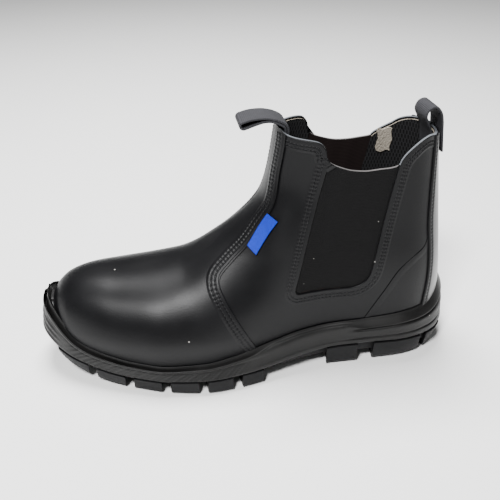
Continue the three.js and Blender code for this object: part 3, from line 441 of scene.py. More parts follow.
@dataclass
class Last:
    """The foot form that every piece of leather follows."""

    toe_round: float = 0.083
    toe_top: float = 0.048
    heel_radius: float = 0.040
    collar_radius: float = 0.029
    shin_length: float = 0.051
    ankle_swell: float = 0.0020
    side_swell: float = 0.0025
    bend_start: float = 0.56
    back_reach: float = 0.048
    shift: float = field(init=False, default=0.0)

    def __post_init__(self) -> None:
        """Turn the tables into curves over the foot, and take the middle line's shift from the frame."""
        places = [row.at for row in PLAN]
        ridge_heights = [row.toe * TOE_HEIGHT + row.shaft * SHAFT_HEIGHT for row in RIDGE]
        shin = INSTEP_ROW + 2
        self.plan = {Side.OUTER: Track(places, [row.outer for row in PLAN]),
                     Side.INNER: Track(places, [row.inner for row in PLAN])}
        self.lip = self.height_track(LIP_LINE, LIP_HEIGHT)
        self.outsole_top = self.height_track(OUTSOLE_TOP, LIP_HEIGHT)
        self.ridge = Track([along(row.at) for row in RIDGE], ridge_heights)
        self.shin = Track(ridge_heights[:shin], [along(row.at) for row in RIDGE[:shin]])
        self.back = Track([row.height * SHAFT_HEIGHT for row in BACK], [along(row.at) for row in BACK])
        self.toe_tip = HALF_LENGTH - LIP_WIDTH
        low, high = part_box("pull_loop_front")
        self.shift = (low.y + high.y) / 2
        self.edge_flare = Track([along(row.at) for row in FLARE], [row.edge * LIP_WIDTH for row in FLARE])
        self.tread_flare = Track([along(row.at) for row in FLARE], [row.tread * LIP_WIDTH for row in FLARE])
        self.strip = Track([row.height * SHAFT_HEIGHT for row in STRIP],
                           [row.at * HEEL_WIDTH for row in STRIP])

    @staticmethod
    def height_track(rows: Sequence[HeightRow], height: float) -> Track:
        """Track of heights over the foot from table rows."""
        return Track([along(row.at) for row in rows], [row.height * height for row in rows])

    def bend(self, x: Array | float) -> Array:
        """Place of the boot's middle line, which bends to the big toe."""
        reach = np.clip((share_of(x) - self.bend_start) / (1 - self.bend_start), 0, 1)
        return self.shift - TOE_BEND * reach ** 2

    def plan_half(self, x: Array, side: Side) -> Array:
        """Half width of the foot at the feather line."""
        share = share_of(x)
        return self.plan[side](share) * mix(HEEL_WIDTH, BALL_WIDTH, smooth(0.3, 0.55, share))

    def deck(self, x: Array | float) -> Array:
        """Height of the deck that the upper stands on."""
        return np.minimum(self.lip(x), LIP_HEIGHT) - LIP_TUCK

    def top(self, x: Array | float) -> Array:
        """Height of the ridge, with the round end of the toe."""
        low = LIP_HEIGHT - LIP_TUCK
        end = (x - self.toe_tip + self.toe_top) / self.toe_top
        return low + (self.ridge(x) - low) * round_off(end, 2.9)

    def half(self, x: Array, z: Array, side: Side) -> Array:
        """Half width of the form.

        Args:
            x: places along the foot.
            z: heights.
            side: side of the boot.

        Returns:
            Distances from the middle line.
        """
        share = share_of(x)
        rise = z / SHAFT_HEIGHT
        low = z / TOE_HEIGHT
        narrowing = smooth(0.175, 0.924, rise) ** 0.9 * (1 - smooth(0.53, 0.785, share))
        half = mix(self.plan_half(x, side), COLLAR_WIDTH / 2, narrowing)
        ankle = np.exp(-(((rise - 0.456) / 0.152) ** 2))
        half = half + self.ankle_swell * ankle * (1 - smooth(0.426, 0.631, share))
        swollen = smooth(0.293, 0.533, low) * (1 - smooth(0.693, 1.12, low))
        half = half + self.side_swell * swollen * smooth(0.357, 0.631, share)
        toe_end = round_off((x - self.toe_tip + self.toe_round) / self.toe_round, 2.3)
        radius = mix(self.heel_radius, self.collar_radius, smooth(0.234, 0.936, rise))
        heel_end = round_off((self.back(z) + radius - x) / radius, 2.15)
        deck = self.deck(x)
        room = self.top(x) - deck
        over_ridge = np.where(room > 0, np.clip((z - deck) / np.where(room > 0, room, 1), 0, 1), 1)
        over_shin = np.clip((x - self.shin(z) + self.shin_length) / self.shin_length, 0, 1)
        closing = mix(over_ridge, over_shin, smooth(*SHIN_TURN, rise))
        return half * toe_end * heel_end * round_off(closing, 2.35)

    def side_normals(self, x: Array, z: Array, side: Side) -> Array:
        """Outward normals of the form at side-view places."""
        small = 0.0003
        slope_x = (self.half(x + small, z, side) - self.half(x - small, z, side)) / (2 * small)
        slope_z = (self.half(x, z + small, side) - self.half(x, z - small, side)) / (2 * small)
        turn = (self.bend(x + small) - self.bend(x - small)) / (2 * small)
        normals = np.stack([-slope_x - side.value * turn, np.full_like(x, side.value), -slope_z], axis=-1)
        return normals / np.linalg.norm(normals, axis=-1, keepdims=True)

    def side_surface(self, line: Array, side: Side, lift: Array | float = 0.0) -> Array:
        """Points on the form over side-view places.

        Args:
            line: side-view points, X and Z in the last axis.
            side: side of the boot.
            lift: how far they lie outside the form.

        Returns:
            Points in the same shape, with X, Y and Z.
        """
        x = line[..., 0]
        z = line[..., 1]
        points = np.stack([x, self.bend(x) + side.value * self.half(x, z, side), z], axis=-1)
        return points + self.side_normals(x, z, side) * np.asarray(lift)[..., None]

    def back_places(self, y: Array, z: Array) -> Array:
        """Places along the foot where the heel's form is a given half width, found by halving a range.

        Args:
            y: distances from the middle line, positive on the outer side.
            z: heights.

        Returns:
            Places on the X axis.
        """
        low = self.back(z)
        high = low + self.back_reach
        for _ in range(30):
            middle = (low + high) / 2
            outer = np.where(y > 0, self.half(middle, z, Side.OUTER), self.half(middle, z, Side.INNER))
            short = outer < np.abs(y)
            low = np.where(short, middle, low)
            high = np.where(short, high, middle)
        return low

    def back_surface(self, y: Array, z: Array, lift: Array | float) -> Array:
        """Points on the back of the form.

        Args:
            y: distances from the middle line.
            z: heights.
            lift: how far the points lie outside the form.

        Returns:
            Points with X, Y and Z in the last axis.
        """
        x = self.back_places(y, z)
        points = np.stack([x, self.bend(x) + y, z], axis=-1)
        normals = np.cross(np.gradient(points, axis=1), np.gradient(points, axis=0))
        normals /= np.linalg.norm(normals, axis=-1, keepdims=True)
        middle = points.shape[1] // 2
        normals *= -np.sign(normals[:, middle:middle + 1, :1])
        return points + normals * np.asarray(lift)[..., None]

    def front_line(self) -> list[tuple[float, float]]:
        """Side-view points from under the toe tip over the instep to above the collar."""
        low = float(self.deck(self.toe_tip)) - LIP_TUCK
        line = [(self.toe_tip, low), (self.toe_tip, (low + LIP_HEIGHT - LIP_TUCK) / 2)]
        turn = np.linspace(0, math.pi / 2, 60)
        toe = self.toe_tip - self.toe_top * (1 - np.cos(turn))
        line += list(zip(toe, self.top(toe)))
        instep = along(RIDGE[INSTEP_ROW].at)
        ridge = np.linspace(self.toe_tip - self.toe_top, instep, 60)[1:]
        line += list(zip(ridge, self.top(ridge)))
        height = np.linspace(float(self.ridge(instep)), 1.1 * SHAFT_HEIGHT, 60)[1:]
        line += list(zip(self.shin(height), height))
        return line

    def skin(self, lift: float, rings: int, columns: int) -> Array:
        """Grid over the whole form.

        Args:
            lift: how far it lies outside the form.
            rings: rings from the feather line to above the collar.
            columns: points from the back to the front on one side.

        Returns:
            Points of rings by 2 * columns + 1, whose first and last columns meet at the back.
        """
        front = even_line(self.front_line(), rings)
        under_top = np.minimum(front[:, 1], self.top(front[:, 0]))
        front[:, 1] = mix(under_top, front[:, 1], smooth(*SHIN_TURN, front[:, 1] / SHAFT_HEIGHT))
        rise = np.linspace(0, 1, rings)[:, None]
        lowest, highest = front[0, 1], front[-1, 1]
        climbed = ((front[:, 1] - lowest) / (highest - lowest))[:, None]
        back_z = mix(lowest, highest, climbed * mix(0.35, 1, rise))
        turn = np.linspace(0, 1, columns + 1)[None, :]
        step = turn ** 2 / (turn ** 2 + (1 - turn) ** 1.5)
        x = mix(self.back(back_z), front[:, :1], np.sin(step * math.pi / 2))
        climb = 1 - np.cos(step * math.pi / 2)
        settle = (self.deck(x) - LIP_TUCK - lowest) * (1 - rise) ** 4
        z = mix(back_z, front[:, 1:], climb) + settle - settle[:, -1:] * climb
        sides = []
        for side in Side:
            half = self.half(x, z, side)
            half[:, 0] = 0
            half[:, -1] = 0
            sides.append(np.stack([x, self.bend(x) + side.value * half, z], axis=-1))
        points = np.concatenate([sides[0], sides[1][:, -2::-1]], axis=1)
        return points + self.grid_normals(points) * lift

    @staticmethod
    def grid_normals(points: Array) -> Array:
        """Outward normals of a grid of rings that closes round the boot."""
        ring = points[:, :-1]
        up = np.gradient(ring, axis=0)
        way = np.roll(ring, -2, axis=1) - np.roll(ring, 2, axis=1)
        normals = np.cross(up, way)
        normals /= np.linalg.norm(normals, axis=-1, keepdims=True)
        return np.concatenate([normals, normals[:, :1]], axis=1)

    def outline(self, columns: int, inset: float) -> Array:
        """Plan outline of the sole, from the back along the outer side and home along the inner side.

        Args:
            columns: points on one side.
            inset: how far it lies inside the lip.

        Returns:
            Points of 2 * columns + 1 by X and Y, the first and last the same.
        """
        turn = np.linspace(0, math.pi, columns + 1)
        x = -HALF_LENGTH * np.cos(turn)
        toe_length = self.toe_round + LIP_WIDTH
        radius = self.heel_radius + LIP_WIDTH
        ends = round_off((x - HALF_LENGTH + toe_length) / toe_length, 2.3)
        ends = ends * round_off((radius - HALF_LENGTH - x) / radius, 2.15)
        sides = []
        for side in Side:
            half = (self.plan_half(x, side) + LIP_WIDTH) * ends
            half[0] = half[-1] = 0
            sides.append(np.stack([x, self.bend(x) + side.value * half], axis=1))
        loop = np.concatenate([sides[0], sides[1][-2::-1]])
        ring = loop[:-1]
        way = np.roll(ring, -1, axis=0) - np.roll(ring, 1, axis=0)
        outward = np.stack([-way[:, 1], way[:, 0]], axis=1)
        outward /= np.linalg.norm(outward, axis=1)[:, None]
        ring = ring - outward * inset
        return np.concatenate([ring, ring[:1]])


LAST = Last()


def deselect() -> None:
    """Leave edit mode and select nothing."""
    if bpy.context.object and bpy.context.object.mode != "OBJECT":
        bpy.ops.object.mode_set(mode="OBJECT")
    bpy.ops.object.select_all(action="DESELECT")


def select_only(piece: bpy.types.Object) -> None:
    """Select one piece and make it the active one."""
    deselect()
    piece.select_set(True)
    bpy.context.view_layer.objects.active = piece


def finish_mesh(piece: bpy.types.Object, merge: float = 1e-6, closed: bool = True) -> None:
    """Merge a piece's doubles and turn the faces of a closed one outwards.

    Args:
        piece: the piece.
        merge: distance under which points are merged.
        closed: whether its faces enclose a volume.
    """
    select_only(piece)
    bpy.ops.object.mode_set(mode="EDIT")
    bpy.ops.mesh.select_all(action="SELECT")
    bpy.ops.mesh.remove_doubles(threshold=merge)
    if closed:
        bpy.ops.mesh.normals_make_consistent(inside=False)
    bpy.ops.object.mode_set(mode="OBJECT")


def shade(piece: bpy.types.Object, degrees: float = 40) -> None:
    """Shade a piece smooth where its faces meet at less than an angle."""
    select_only(piece)
    bpy.ops.object.shade_smooth_by_angle(angle=math.radians(degrees))


def grid_piece(name: str, points: Array, closed: bool = True) -> bpy.types.Object:
    """A grid primitive shaped onto rows and columns of points.

    Its map holds real lengths in metres, measured along its middle row and column.

    Args:
        name: name of the piece.
        points: points in rows and columns.
        closed: whether merging its edges encloses a volume.

    Returns:
        The piece, with doubles merged.
    """
    rows, columns = points.shape[:2]
    deselect()
    bpy.ops.mesh.primitive_grid_add(x_subdivisions=columns - 1, y_subdivisions=rows - 1, size=1)
    piece = bpy.context.object
    piece.name = piece.data.name = name
    piece.data.vertices.foreach_set("co", np.ascontiguousarray(points, np.float32).ravel())
    middle_row = points[rows // 2]
    middle_column = points[:, columns // 2]
    across = travelled_along(middle_row)
    up = travelled_along(middle_column)
    lengths = np.stack(np.broadcast_arrays(across[None, :], up[:, None]), axis=-1).reshape(-1, 2)
    corner = np.zeros(len(piece.data.loops), np.int32)
    piece.data.loops.foreach_get("vertex_index", corner)
    piece.data.uv_layers[0].data.foreach_set("uv", lengths[corner].astype(np.float32).ravel())
    piece.data.update()
    finish_mesh(piece, closed=closed)
    return piece


def flip(piece: bpy.types.Object) -> None:
    """Turn all of a piece's faces over."""
    select_only(piece)
    bpy.ops.object.mode_set(mode="EDIT")
    bpy.ops.mesh.select_all(action="SELECT")
    bpy.ops.mesh.flip_normals()
    bpy.ops.object.mode_set(mode="OBJECT")


def capped(rows: Array) -> Array:
    """Rows of points with each end drawn together into one point, for a closed form."""
    ends = [np.broadcast_to(rows[i].mean(axis=0), rows[i].shape)[None] for i in (0, -1)]
    return np.concatenate([ends[0], rows, ends[1]])


def face_outwards(piece: bpy.types.Object, outward: Vector) -> None:
    """Turn an open sheet's faces towards a direction."""
    if sum(face.normal.dot(outward) * face.area for face in piece.data.polygons) < 0:
        flip(piece)


def apply_modifiers(piece: bpy.types.Object) -> None:
    """Apply all of a piece's modifiers."""
    select_only(piece)
    for modifier in list(piece.modifiers):
        bpy.ops.object.modifier_apply(modifier=modifier.name)


def thicken(piece: bpy.types.Object, thickness: float) -> None:
    """Give an open sheet a wall that grows inwards.

    Args:
        piece: the sheet, its faces outwards.
        thickness: thickness of the wall.
    """
    modifier = piece.modifiers.new("wall", "SOLIDIFY")
    modifier.thickness = thickness
    modifier.offset = -1
    apply_modifiers(piece)


def cut(piece: bpy.types.Object, cutter: bpy.types.Object, how: Cut, overlapping: bool = False) -> None:
    """Cut a piece by another solid, which is used up. Cut faces take the cutter's material.

    Args:
        piece: the piece that stays.
        cutter: the solid that cuts it.
        how: what the cutter does.
        overlapping: whether the cutter's own parts overlap.
    """
    modifier = piece.modifiers.new("cut", "BOOLEAN")
    modifier.operation = how.value
    modifier.solver = "EXACT"
    modifier.use_self = overlapping
    modifier.material_mode = "TRANSFER"
    modifier.object = cutter
    apply_modifiers(piece)
    bpy.data.objects.remove(cutter)


def bevel(piece: bpy.types.Object, width: float, segments: int = 2, degrees: float = 35) -> None:
    """Round the sharp edges of a piece."""
    modifier = piece.modifiers.new("edges", "BEVEL")
    modifier.width = width
    modifier.segments = segments
    modifier.limit_method = "ANGLE"
    modifier.angle_limit = math.radians(degrees)
    apply_modifiers(piece)


def prism(outline: Array, start: float, stop: float, axis: int,
          material: bpy.types.Material | None = None) -> bpy.types.Object:
    """Prism over an outline, drawn as a circle primitive, shaped and extruded.

    Args:
        outline: its points in the two axes other than the prism's own, in X, Y, Z order.
        start: place of its first end.
        stop: place of its last end.
        axis: the prism's axis, 0 to 2.
        material: what the faces that it cuts are made of.

    Returns:
        The prism.
    """
    deselect()
    bpy.ops.mesh.primitive_circle_add(vertices=len(outline), fill_type="NGON")
    piece = bpy.context.object
    points = np.insert(np.asarray(outline, float), axis, start, axis=1)
    piece.data.vertices.foreach_set("co", points.astype(np.float32).ravel())
    move = [0.0, 0.0, 0.0]
    move[axis] = stop - start
    bpy.ops.object.mode_set(mode="EDIT")
    bpy.ops.mesh.select_all(action="SELECT")
    bpy.ops.mesh.extrude_region_move(TRANSFORM_OT_translate={"value": move})
    bpy.ops.mesh.select_all(action="SELECT")
    bpy.ops.mesh.normals_make_consistent(inside=False)
    bpy.ops.object.mode_set(mode="OBJECT")
    if material:
        piece.data.materials.append(material)
    return piece


def joined(pieces: Sequence[bpy.types.Object], name: str) -> bpy.types.Object:
    """Join pieces into one object."""
    deselect()
    for piece in pieces:
        piece.select_set(True)
    bpy.context.view_layer.objects.active = pieces[0]
    bpy.ops.object.join()
    pieces[0].name = pieces[0].data.name = name
    return pieces[0]


def place(piece: bpy.types.Object, slot: str, *nodes: str) -> None:
    """Ride a finished piece on the boot, hide the frame's nodes that it replaces and log its face count.

    Args:
        piece: the piece.
        slot: not used.
        nodes: nodes of the frame that it replaces.
    """
    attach(piece, BODY)
    if nodes:
        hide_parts(*nodes)
    LOG.info("%s: %d faces", piece.name, len(piece.data.polygons))


def dress(piece: bpy.types.Object, material: bpy.types.Material) -> None:
    """Give a piece its first material, ahead of any that its cuts brought."""
    if piece.data.materials:
        piece.data.materials[0] = material
    else:
        piece.data.materials.append(material)


class Graph:
    """Short-hand for adding nodes to one tree and wiring them."""

    def __init__(self, tree: bpy.types.NodeTree) -> None:
        """Work on one node tree."""
        self.tree = tree

    def add(self, kind: str, **settings: object) -> bpy.types.Node:
        """Add a node and set its properties."""
        node = self.tree.nodes.new(kind)
        for name, value in settings.items():
            setattr(node, name, value)
        return node

    def wire(self, source: bpy.types.NodeSocket, target: bpy.types.NodeSocket) -> None:
        """Wire an output to an input."""
        self.tree.links.new(source, target)

    def feed(self, value: object, target: bpy.types.NodeSocket) -> None:
        """Wire a socket to an input, or set the input to a plain value."""
        if isinstance(value, bpy.types.NodeSocket):
            self.wire(value, target)
        else:
            target.default_value = value

    def maths(self, operation: str, first: object, second: object = 0.0) -> bpy.types.NodeSocket:
        """Arithmetic on two values."""
        node = self.add("ShaderNodeMath", operation=operation)
        self.feed(first, node.inputs[0])
        self.feed(second, node.inputs[1])
        return node.outputs[0]

    def ranged(self, value: object, low: float, high: float, to_low: float, to_high: float,
               soft: bool = True) -> bpy.types.NodeSocket:
        """A value taken from one range to another."""
        node = self.add("ShaderNodeMapRange", interpolation_type="SMOOTHSTEP" if soft else "LINEAR")
        for socket, number in zip(node.inputs, (value, low, high, to_low, to_high)):
            self.feed(number, socket)
        return node.outputs["Result"]

    def noise(self, vector: object, scale: object, detail: float = 3,
              rough: float = 0.5) -> bpy.types.NodeSocket:
        """Noise around 0.5."""
        node = self.add("ShaderNodeTexNoise")
        self.feed(vector, node.inputs["Vector"])
        self.feed(scale, node.inputs["Scale"])
        node.inputs["Detail"].default_value = detail
        node.inputs["Roughness"].default_value = rough
        return node.outputs["Fac"]

    def blend(self, share: object, first: object, second: object) -> bpy.types.NodeSocket:
        """A mix of two colours."""
        node = self.add("ShaderNodeMix", data_type="RGBA")
        self.feed(share, node.inputs["Factor"])
        for value, place_in in zip((first, second), COLOR_INPUTS):
            self.feed(value, node.inputs[place_in])
        return node.outputs[COLOR_OUTPUT]


Rgb = tuple[float, float, float]


def rgba(color: Rgb) -> tuple[float, float, float, float]:
    """A colour with full cover."""
    return (*color, 1.0)


class ShaderKit:
    """Node groups that the finishes share, each built once."""

    def __init__(self) -> None:
        """Build every group."""
        self.grain = self.group("Leather grain", ("Scale", "Pores"), ("Height", "Tone"), self.build_grain)
        self.dust = self.group("Dust specks", ("Scale", "Cover"), ("Mask",), self.build_dust)
        self.ribs = self.group("Woven ribs", ("Pitch", "Cross"), ("Height", "Tone"), self.build_ribs)
        self.cells = self.group("Mesh cells", ("Pitch", "Cross"), ("Height", "Tone"), self.build_cells)
        self.haze = self.group("Handling haze", ("Scale",), ("Tone",), self.build_haze)

    @staticmethod
    def group(name: str, inputs: Sequence[str], outputs: Sequence[str],
              build: Callable[[Graph, bpy.types.Node, bpy.types.Node], None]) -> bpy.types.NodeTree:
        """Make a node group with a vector input and named values.

        Args:
            name: name of the group.
            inputs: names of its value inputs.
            outputs: names of its value outputs.
            build: function that wires its inside.

        Returns:
            The group.
        """
        tree = bpy.data.node_groups.new(name, "ShaderNodeTree")
        tree.interface.new_socket("Vector", in_out="INPUT", socket_type="NodeSocketVector")
        for socket in inputs:
            tree.interface.new_socket(socket, in_out="INPUT", socket_type="NodeSocketFloat")
        for socket in outputs:
            tree.interface.new_socket(socket, in_out="OUTPUT", socket_type="NodeSocketFloat")
        graph = Graph(tree)
        build(graph, graph.add("NodeGroupInput"), graph.add("NodeGroupOutput"))
        return tree

    @staticmethod
    def build_grain(graph: Graph, source: bpy.types.Node, target: bpy.types.Node) -> None:
        """Fine corrected grain: small cells, pores and a slow unevenness."""
        cells = graph.add("ShaderNodeTexVoronoi", feature="SMOOTH_F1")
        graph.wire(source.outputs["Vector"], cells.inputs["Vector"])
        graph.wire(source.outputs["Scale"], cells.inputs["Scale"])
        fine = graph.noise(source.outputs["Vector"], source.outputs["Scale"], 4, 0.6)
        pores = graph.ranged(fine, 0.30, 0.42, 0.0, 1.0)
        hollow = graph.maths("MULTIPLY", graph.maths("SUBTRACT", 1.0, pores), source.outputs["Pores"])
        raised = graph.maths("ADD", graph.maths("MULTIPLY", cells.outputs["Distance"], 0.6), fine)
        graph.wire(graph.maths("SUBTRACT", raised, hollow), target.inputs["Height"])
        graph.wire(graph.noise(source.outputs["Vector"], 30.0, 3, 0.55), target.inputs["Tone"])

    @staticmethod
    def build_dust(graph: Graph, source: bpy.types.Node, target: bpy.types.Node) -> None:
        """Sparse round specks of dust."""
        cells = graph.add("ShaderNodeTexVoronoi", feature="F1")
        graph.wire(source.outputs["Vector"], cells.inputs["Vector"])
        graph.wire(source.outputs["Scale"], cells.inputs["Scale"])
        spot = graph.ranged(cells.outputs["Distance"], 0.05, 0.13, 1.0, 0.0)
        separate = graph.add("ShaderNodeSeparateColor")
        graph.wire(cells.outputs["Color"], separate.inputs["Color"])
        chosen = graph.maths("LESS_THAN", separate.outputs[0], source.outputs["Cover"])
        graph.wire(graph.maths("MULTIPLY", spot, chosen), target.inputs["Mask"])

    @staticmethod
    def build_ribs(graph: Graph, source: bpy.types.Node, target: bpy.types.Node) -> None:
        """Ribs across one axis of the map, broken up by the threads that cross them; the tone darkens
        between the ribs as painted shade.
        """
        parts = graph.add("ShaderNodeSeparateXYZ")
        graph.wire(source.outputs["Vector"], parts.inputs["Vector"])
        wobble = graph.noise(source.outputs["Vector"], 260.0, 2)
        turns = graph.maths("DIVIDE", parts.outputs["Y"], source.outputs["Pitch"])
        turns = graph.maths("ADD", turns, graph.maths("MULTIPLY", wobble, 0.35))
        rib = graph.maths("ABSOLUTE", graph.maths("SINE", graph.maths("MULTIPLY", turns, math.pi)))
        cross = graph.maths("DIVIDE", parts.outputs["X"], source.outputs["Cross"])
        thread = graph.maths("ABSOLUTE", graph.maths("SINE", graph.maths("MULTIPLY", cross, math.pi)))
        height = graph.maths("ADD", rib, graph.maths("MULTIPLY", thread, 0.35))
        graph.wire(height, target.inputs["Height"])
        # Tone follows the ribs' height, varied by noise: painted shade in the grooves between ribs, with
        # random unevenness.
        uneven = graph.ranged(wobble, 0.3, 0.7, 0.7, 1.0)
        graph.wire(graph.maths("MULTIPLY", rib, uneven), target.inputs["Tone"])

    @staticmethod
    def build_cells(graph: Graph, source: bpy.types.Node, target: bpy.types.Node) -> None:
        """Staggered upright holes between threads, as in an air mesh; the tone darkens the holes as painted
        shade.
        """
        parts = graph.add("ShaderNodeSeparateXYZ")
        graph.wire(source.outputs["Vector"], parts.inputs["Vector"])
        waves = []
        for axis, size in (("X", "Cross"), ("Y", "Pitch")):
            turns = graph.maths("DIVIDE", parts.outputs[axis], source.outputs[size])
            waves.append(graph.maths("COSINE", graph.maths("MULTIPLY", turns, 2 * math.pi)))
        checks = graph.maths("MULTIPLY", waves[0], waves[1])
        thread = graph.ranged(checks, -0.05, 0.40, 1.0, 0.0)
        graph.wire(thread, target.inputs["Height"])
        # Tone is the threads' height, so the holes come out darker: painted shade in the holes.
        graph.wire(thread, target.inputs["Tone"])

    @staticmethod
    def build_haze(graph: Graph, source: bpy.types.Node, target: bpy.types.Node) -> None:
        """Soft patches where a surface was handled or is dusty."""
        broad = graph.noise(source.outputs["Vector"], source.outputs["Scale"], 4, 0.6)
        graph.wire(graph.ranged(broad, 0.42, 0.68, 0.0, 1.0), target.inputs["Tone"])


@dataclass(frozen=True)
class Finish:
    """One finish of the boot: its colours, gloss and surface."""

    name: str
    color: Rgb
    lighter: Rgb
    roughness: tuple[float, float]
    bump: float
    grain_scale: float
    pores: float = 0.0
    coat: float = 0.0
    coat_roughness: float = 0.3
    specular: float = 0.5
    sheen: float = 0.0
    dust: float = 0.0
    dust_scale: float = 150.0
    haze: float = 0.0
    pitch: float = 0.0
    cross: float = 0.001
    meshed: bool = False

    def vector(self, graph: Graph) -> bpy.types.NodeSocket:
        """Coordinates that the finish follows: the map for cloth, the object's own for the rest."""
        node = graph.add("ShaderNodeTexCoord")
        return node.outputs["UV"] if self.pitch else node.outputs["Object"]

    def material(self, kit: ShaderKit) -> bpy.types.Material:
        """Build the finish.

        Args:
            kit: the shared node groups.

        Returns:
            The material.
        """
        material = bpy.data.materials.new(self.name)
        material.use_nodes = True
        graph = Graph(material.node_tree)
        shader = material.node_tree.nodes["Principled BSDF"]
        objects = graph.add("ShaderNodeTexCoord").outputs["Object"]
        height, tone = self.surface(graph, kit)
        haze = self.grouped(graph, kit.haze, objects, {"Scale": 28.0}).outputs["Tone"]
        color = graph.blend(tone, rgba(self.color), rgba(self.lighter))
        dusty = tuple(min(1.0, part * 1.6 + 0.012) for part in self.lighter)
        color = graph.blend(graph.maths("MULTIPLY", haze, self.haze), color, rgba(dusty))
        specks = self.grouped(graph, kit.dust, objects, {"Scale": self.dust_scale, "Cover": self.dust})
        color = graph.blend(specks.outputs["Mask"], color, rgba((0.30, 0.29, 0.27)))
        graph.wire(color, shader.inputs["Base Color"])
        rough = graph.ranged(tone, 0.25, 0.75, self.roughness[0], self.roughness[1])
        rough = graph.maths("ADD", rough, graph.maths("MULTIPLY", haze, self.haze * 0.25))
        graph.wire(rough, shader.inputs["Roughness"])
        bump = graph.add("ShaderNodeBump")
        bump.inputs["Strength"].default_value = 1.0
        bump.inputs["Distance"].default_value = self.bump
        graph.wire(height, bump.inputs["Height"])
        graph.wire(bump.outputs["Normal"], shader.inputs["Normal"])
        shader.inputs["Coat Weight"].default_value = self.coat
        shader.inputs["Coat Roughness"].default_value = self.coat_roughness
        shader.inputs["Specular IOR Level"].default_value = self.specular
        shader.inputs["Sheen Weight"].default_value = self.sheen
        return material

    def surface(self, graph: Graph, kit: ShaderKit) -> tuple[bpy.types.NodeSocket, bpy.types.NodeSocket]:
        """Height and tone of the weave or grain."""
        vector = self.vector(graph)
        if self.pitch:
            weave = kit.cells if self.meshed else kit.ribs
            node = self.grouped(graph, weave, vector, {"Pitch": self.pitch, "Cross": self.cross})
        else:
            node = self.grouped(graph, kit.grain, vector, {"Scale": self.grain_scale, "Pores": self.pores})
        return node.outputs["Height"], node.outputs["Tone"]

    @staticmethod
    def grouped(graph: Graph, tree: bpy.types.NodeTree, vector: bpy.types.NodeSocket,
                values: dict[str, float]) -> bpy.types.Node:
        """Place a shared group with its own values."""
        node = graph.add("ShaderNodeGroup", node_tree=tree)
        graph.wire(vector, node.inputs["Vector"])
        for name, value in values.items():
            node.inputs[name].default_value = value
        return node


@dataclass
class Finishes:
    """The boot's finishes as materials."""

    kit: ShaderKit = field(default_factory=ShaderKit)

    def __post_init__(self) -> None:
        """Make every finish."""
        make = self.make
        self.leather = make("Smooth black leather", (0.0018, 0.0018, 0.0022), (0.0040, 0.0040, 0.0047),
                            (0.37, 0.45), 0.00006, 1300, pores=0.25, coat=0.06, coat_roughness=0.34,
                            specular=0.16, dust=0.035, dust_scale=170, haze=0.04)
        self.raw_edge = make("Raw leather edge", (0.035, 0.038, 0.044), (0.110, 0.118, 0.130),
                             (0.80, 0.95), 0.0003, 900, haze=0.2)
        self.thread = make("Sewing thread", (0.004, 0.004, 0.005), (0.012, 0.012, 0.013),
                           (0.45, 0.58), 0.00004, 4000, specular=0.3)
        self.elastic = make("Black elastic", (0.0018, 0.0017, 0.0019), (0.0036, 0.0035, 0.0037),
                            (0.88, 0.96), 0.00010, 0, pitch=0.0011, cross=0.0006, specular=0.2,
                            dust=0.03, dust_scale=300)
        self.elastic_edge = make("Elastic selvedge", (0.055, 0.053, 0.052), (0.11, 0.10, 0.10),
                                 (0.80, 0.90), 0.0001, 2200)
        self.webbing = make("Ribbed webbing", (0.0100, 0.0100, 0.0118), (0.034, 0.034, 0.039),
                            (0.75, 0.88), 0.00012, 0, pitch=0.0011, cross=0.0009, specular=0.3)
        self.tab = make("Blue woven tab", (0.002, 0.014, 0.27), (0.005, 0.030, 0.42),
                        (0.58, 0.70), 0.00006, 0, pitch=0.0006, cross=0.0006, specular=0.2)
        self.midsole = make("Moulded sole foam", (0.0032, 0.0031, 0.0032), (0.0068, 0.0066, 0.0064),
                            (0.38, 0.50), 0.00010, 1500, pores=0.15, specular=0.26,
                            dust=0.03, dust_scale=240, haze=0.16)
        self.tread = make("Tread rubber", (0.0028, 0.0028, 0.0032), (0.0056, 0.0056, 0.0062),
                          (0.52, 0.66), 0.00010, 1100, pores=0.10, specular=0.20, dust=0.02, haze=0.14)
        self.mesh_lining = make("Black air mesh", (0.0045, 0.0045, 0.0048), (0.018, 0.018, 0.019),
                                (0.88, 0.96), 0.0006, 0, pitch=0.0052, cross=0.0036, specular=0.2,
                                meshed=True)
        # Painted shadow: a dead-matte near-black finish for beads laid in seam gaps, standing in for the
        # shade there.
        self.seam_shadow = make("Painted seam shadow", (0.0015, 0.0015, 0.0015), (0.0020, 0.0020, 0.0020),
                                (0.95, 1.0), 0.00002, 900, specular=0.0)
        self.strip_leather = make("Glossy back strip", (0.0034, 0.0034, 0.0040), (0.0075, 0.0075, 0.0086),
                                  (0.30, 0.38), 0.00005, 1300, pores=0.2, coat=0.3, coat_roughness=0.28,
                                  dust=0.02, dust_scale=170, haze=0.12)
        self.foam = make("Raw collar foam", (0.26, 0.22, 0.17), (0.44, 0.40, 0.34),
                         (0.90, 0.97), 0.0006, 700, pores=0.8, haze=0.3)
        self.inside_elastic = make("Inside of the elastic", (0.0060, 0.0034, 0.0032),
                                   (0.0110, 0.0062, 0.0058), (0.88, 0.96), 0.0001, 0,
                                   pitch=0.0011, cross=0.0006, specular=0.2)
        self.insole = make("Insole cloth", (0.0100, 0.0095, 0.0095), (0.022, 0.021, 0.021),
                           (0.86, 0.95), 0.0002, 900, pores=0.3)

    def make(self, name: str, color: Rgb, lighter: Rgb, roughness: tuple[float, float], bump: float,
             grain_scale: float, **more: float) -> bpy.types.Material:
        """Build one finish as a material."""
        return Finish(name, color, lighter, roughness, bump, grain_scale, **more).material(self.kit)


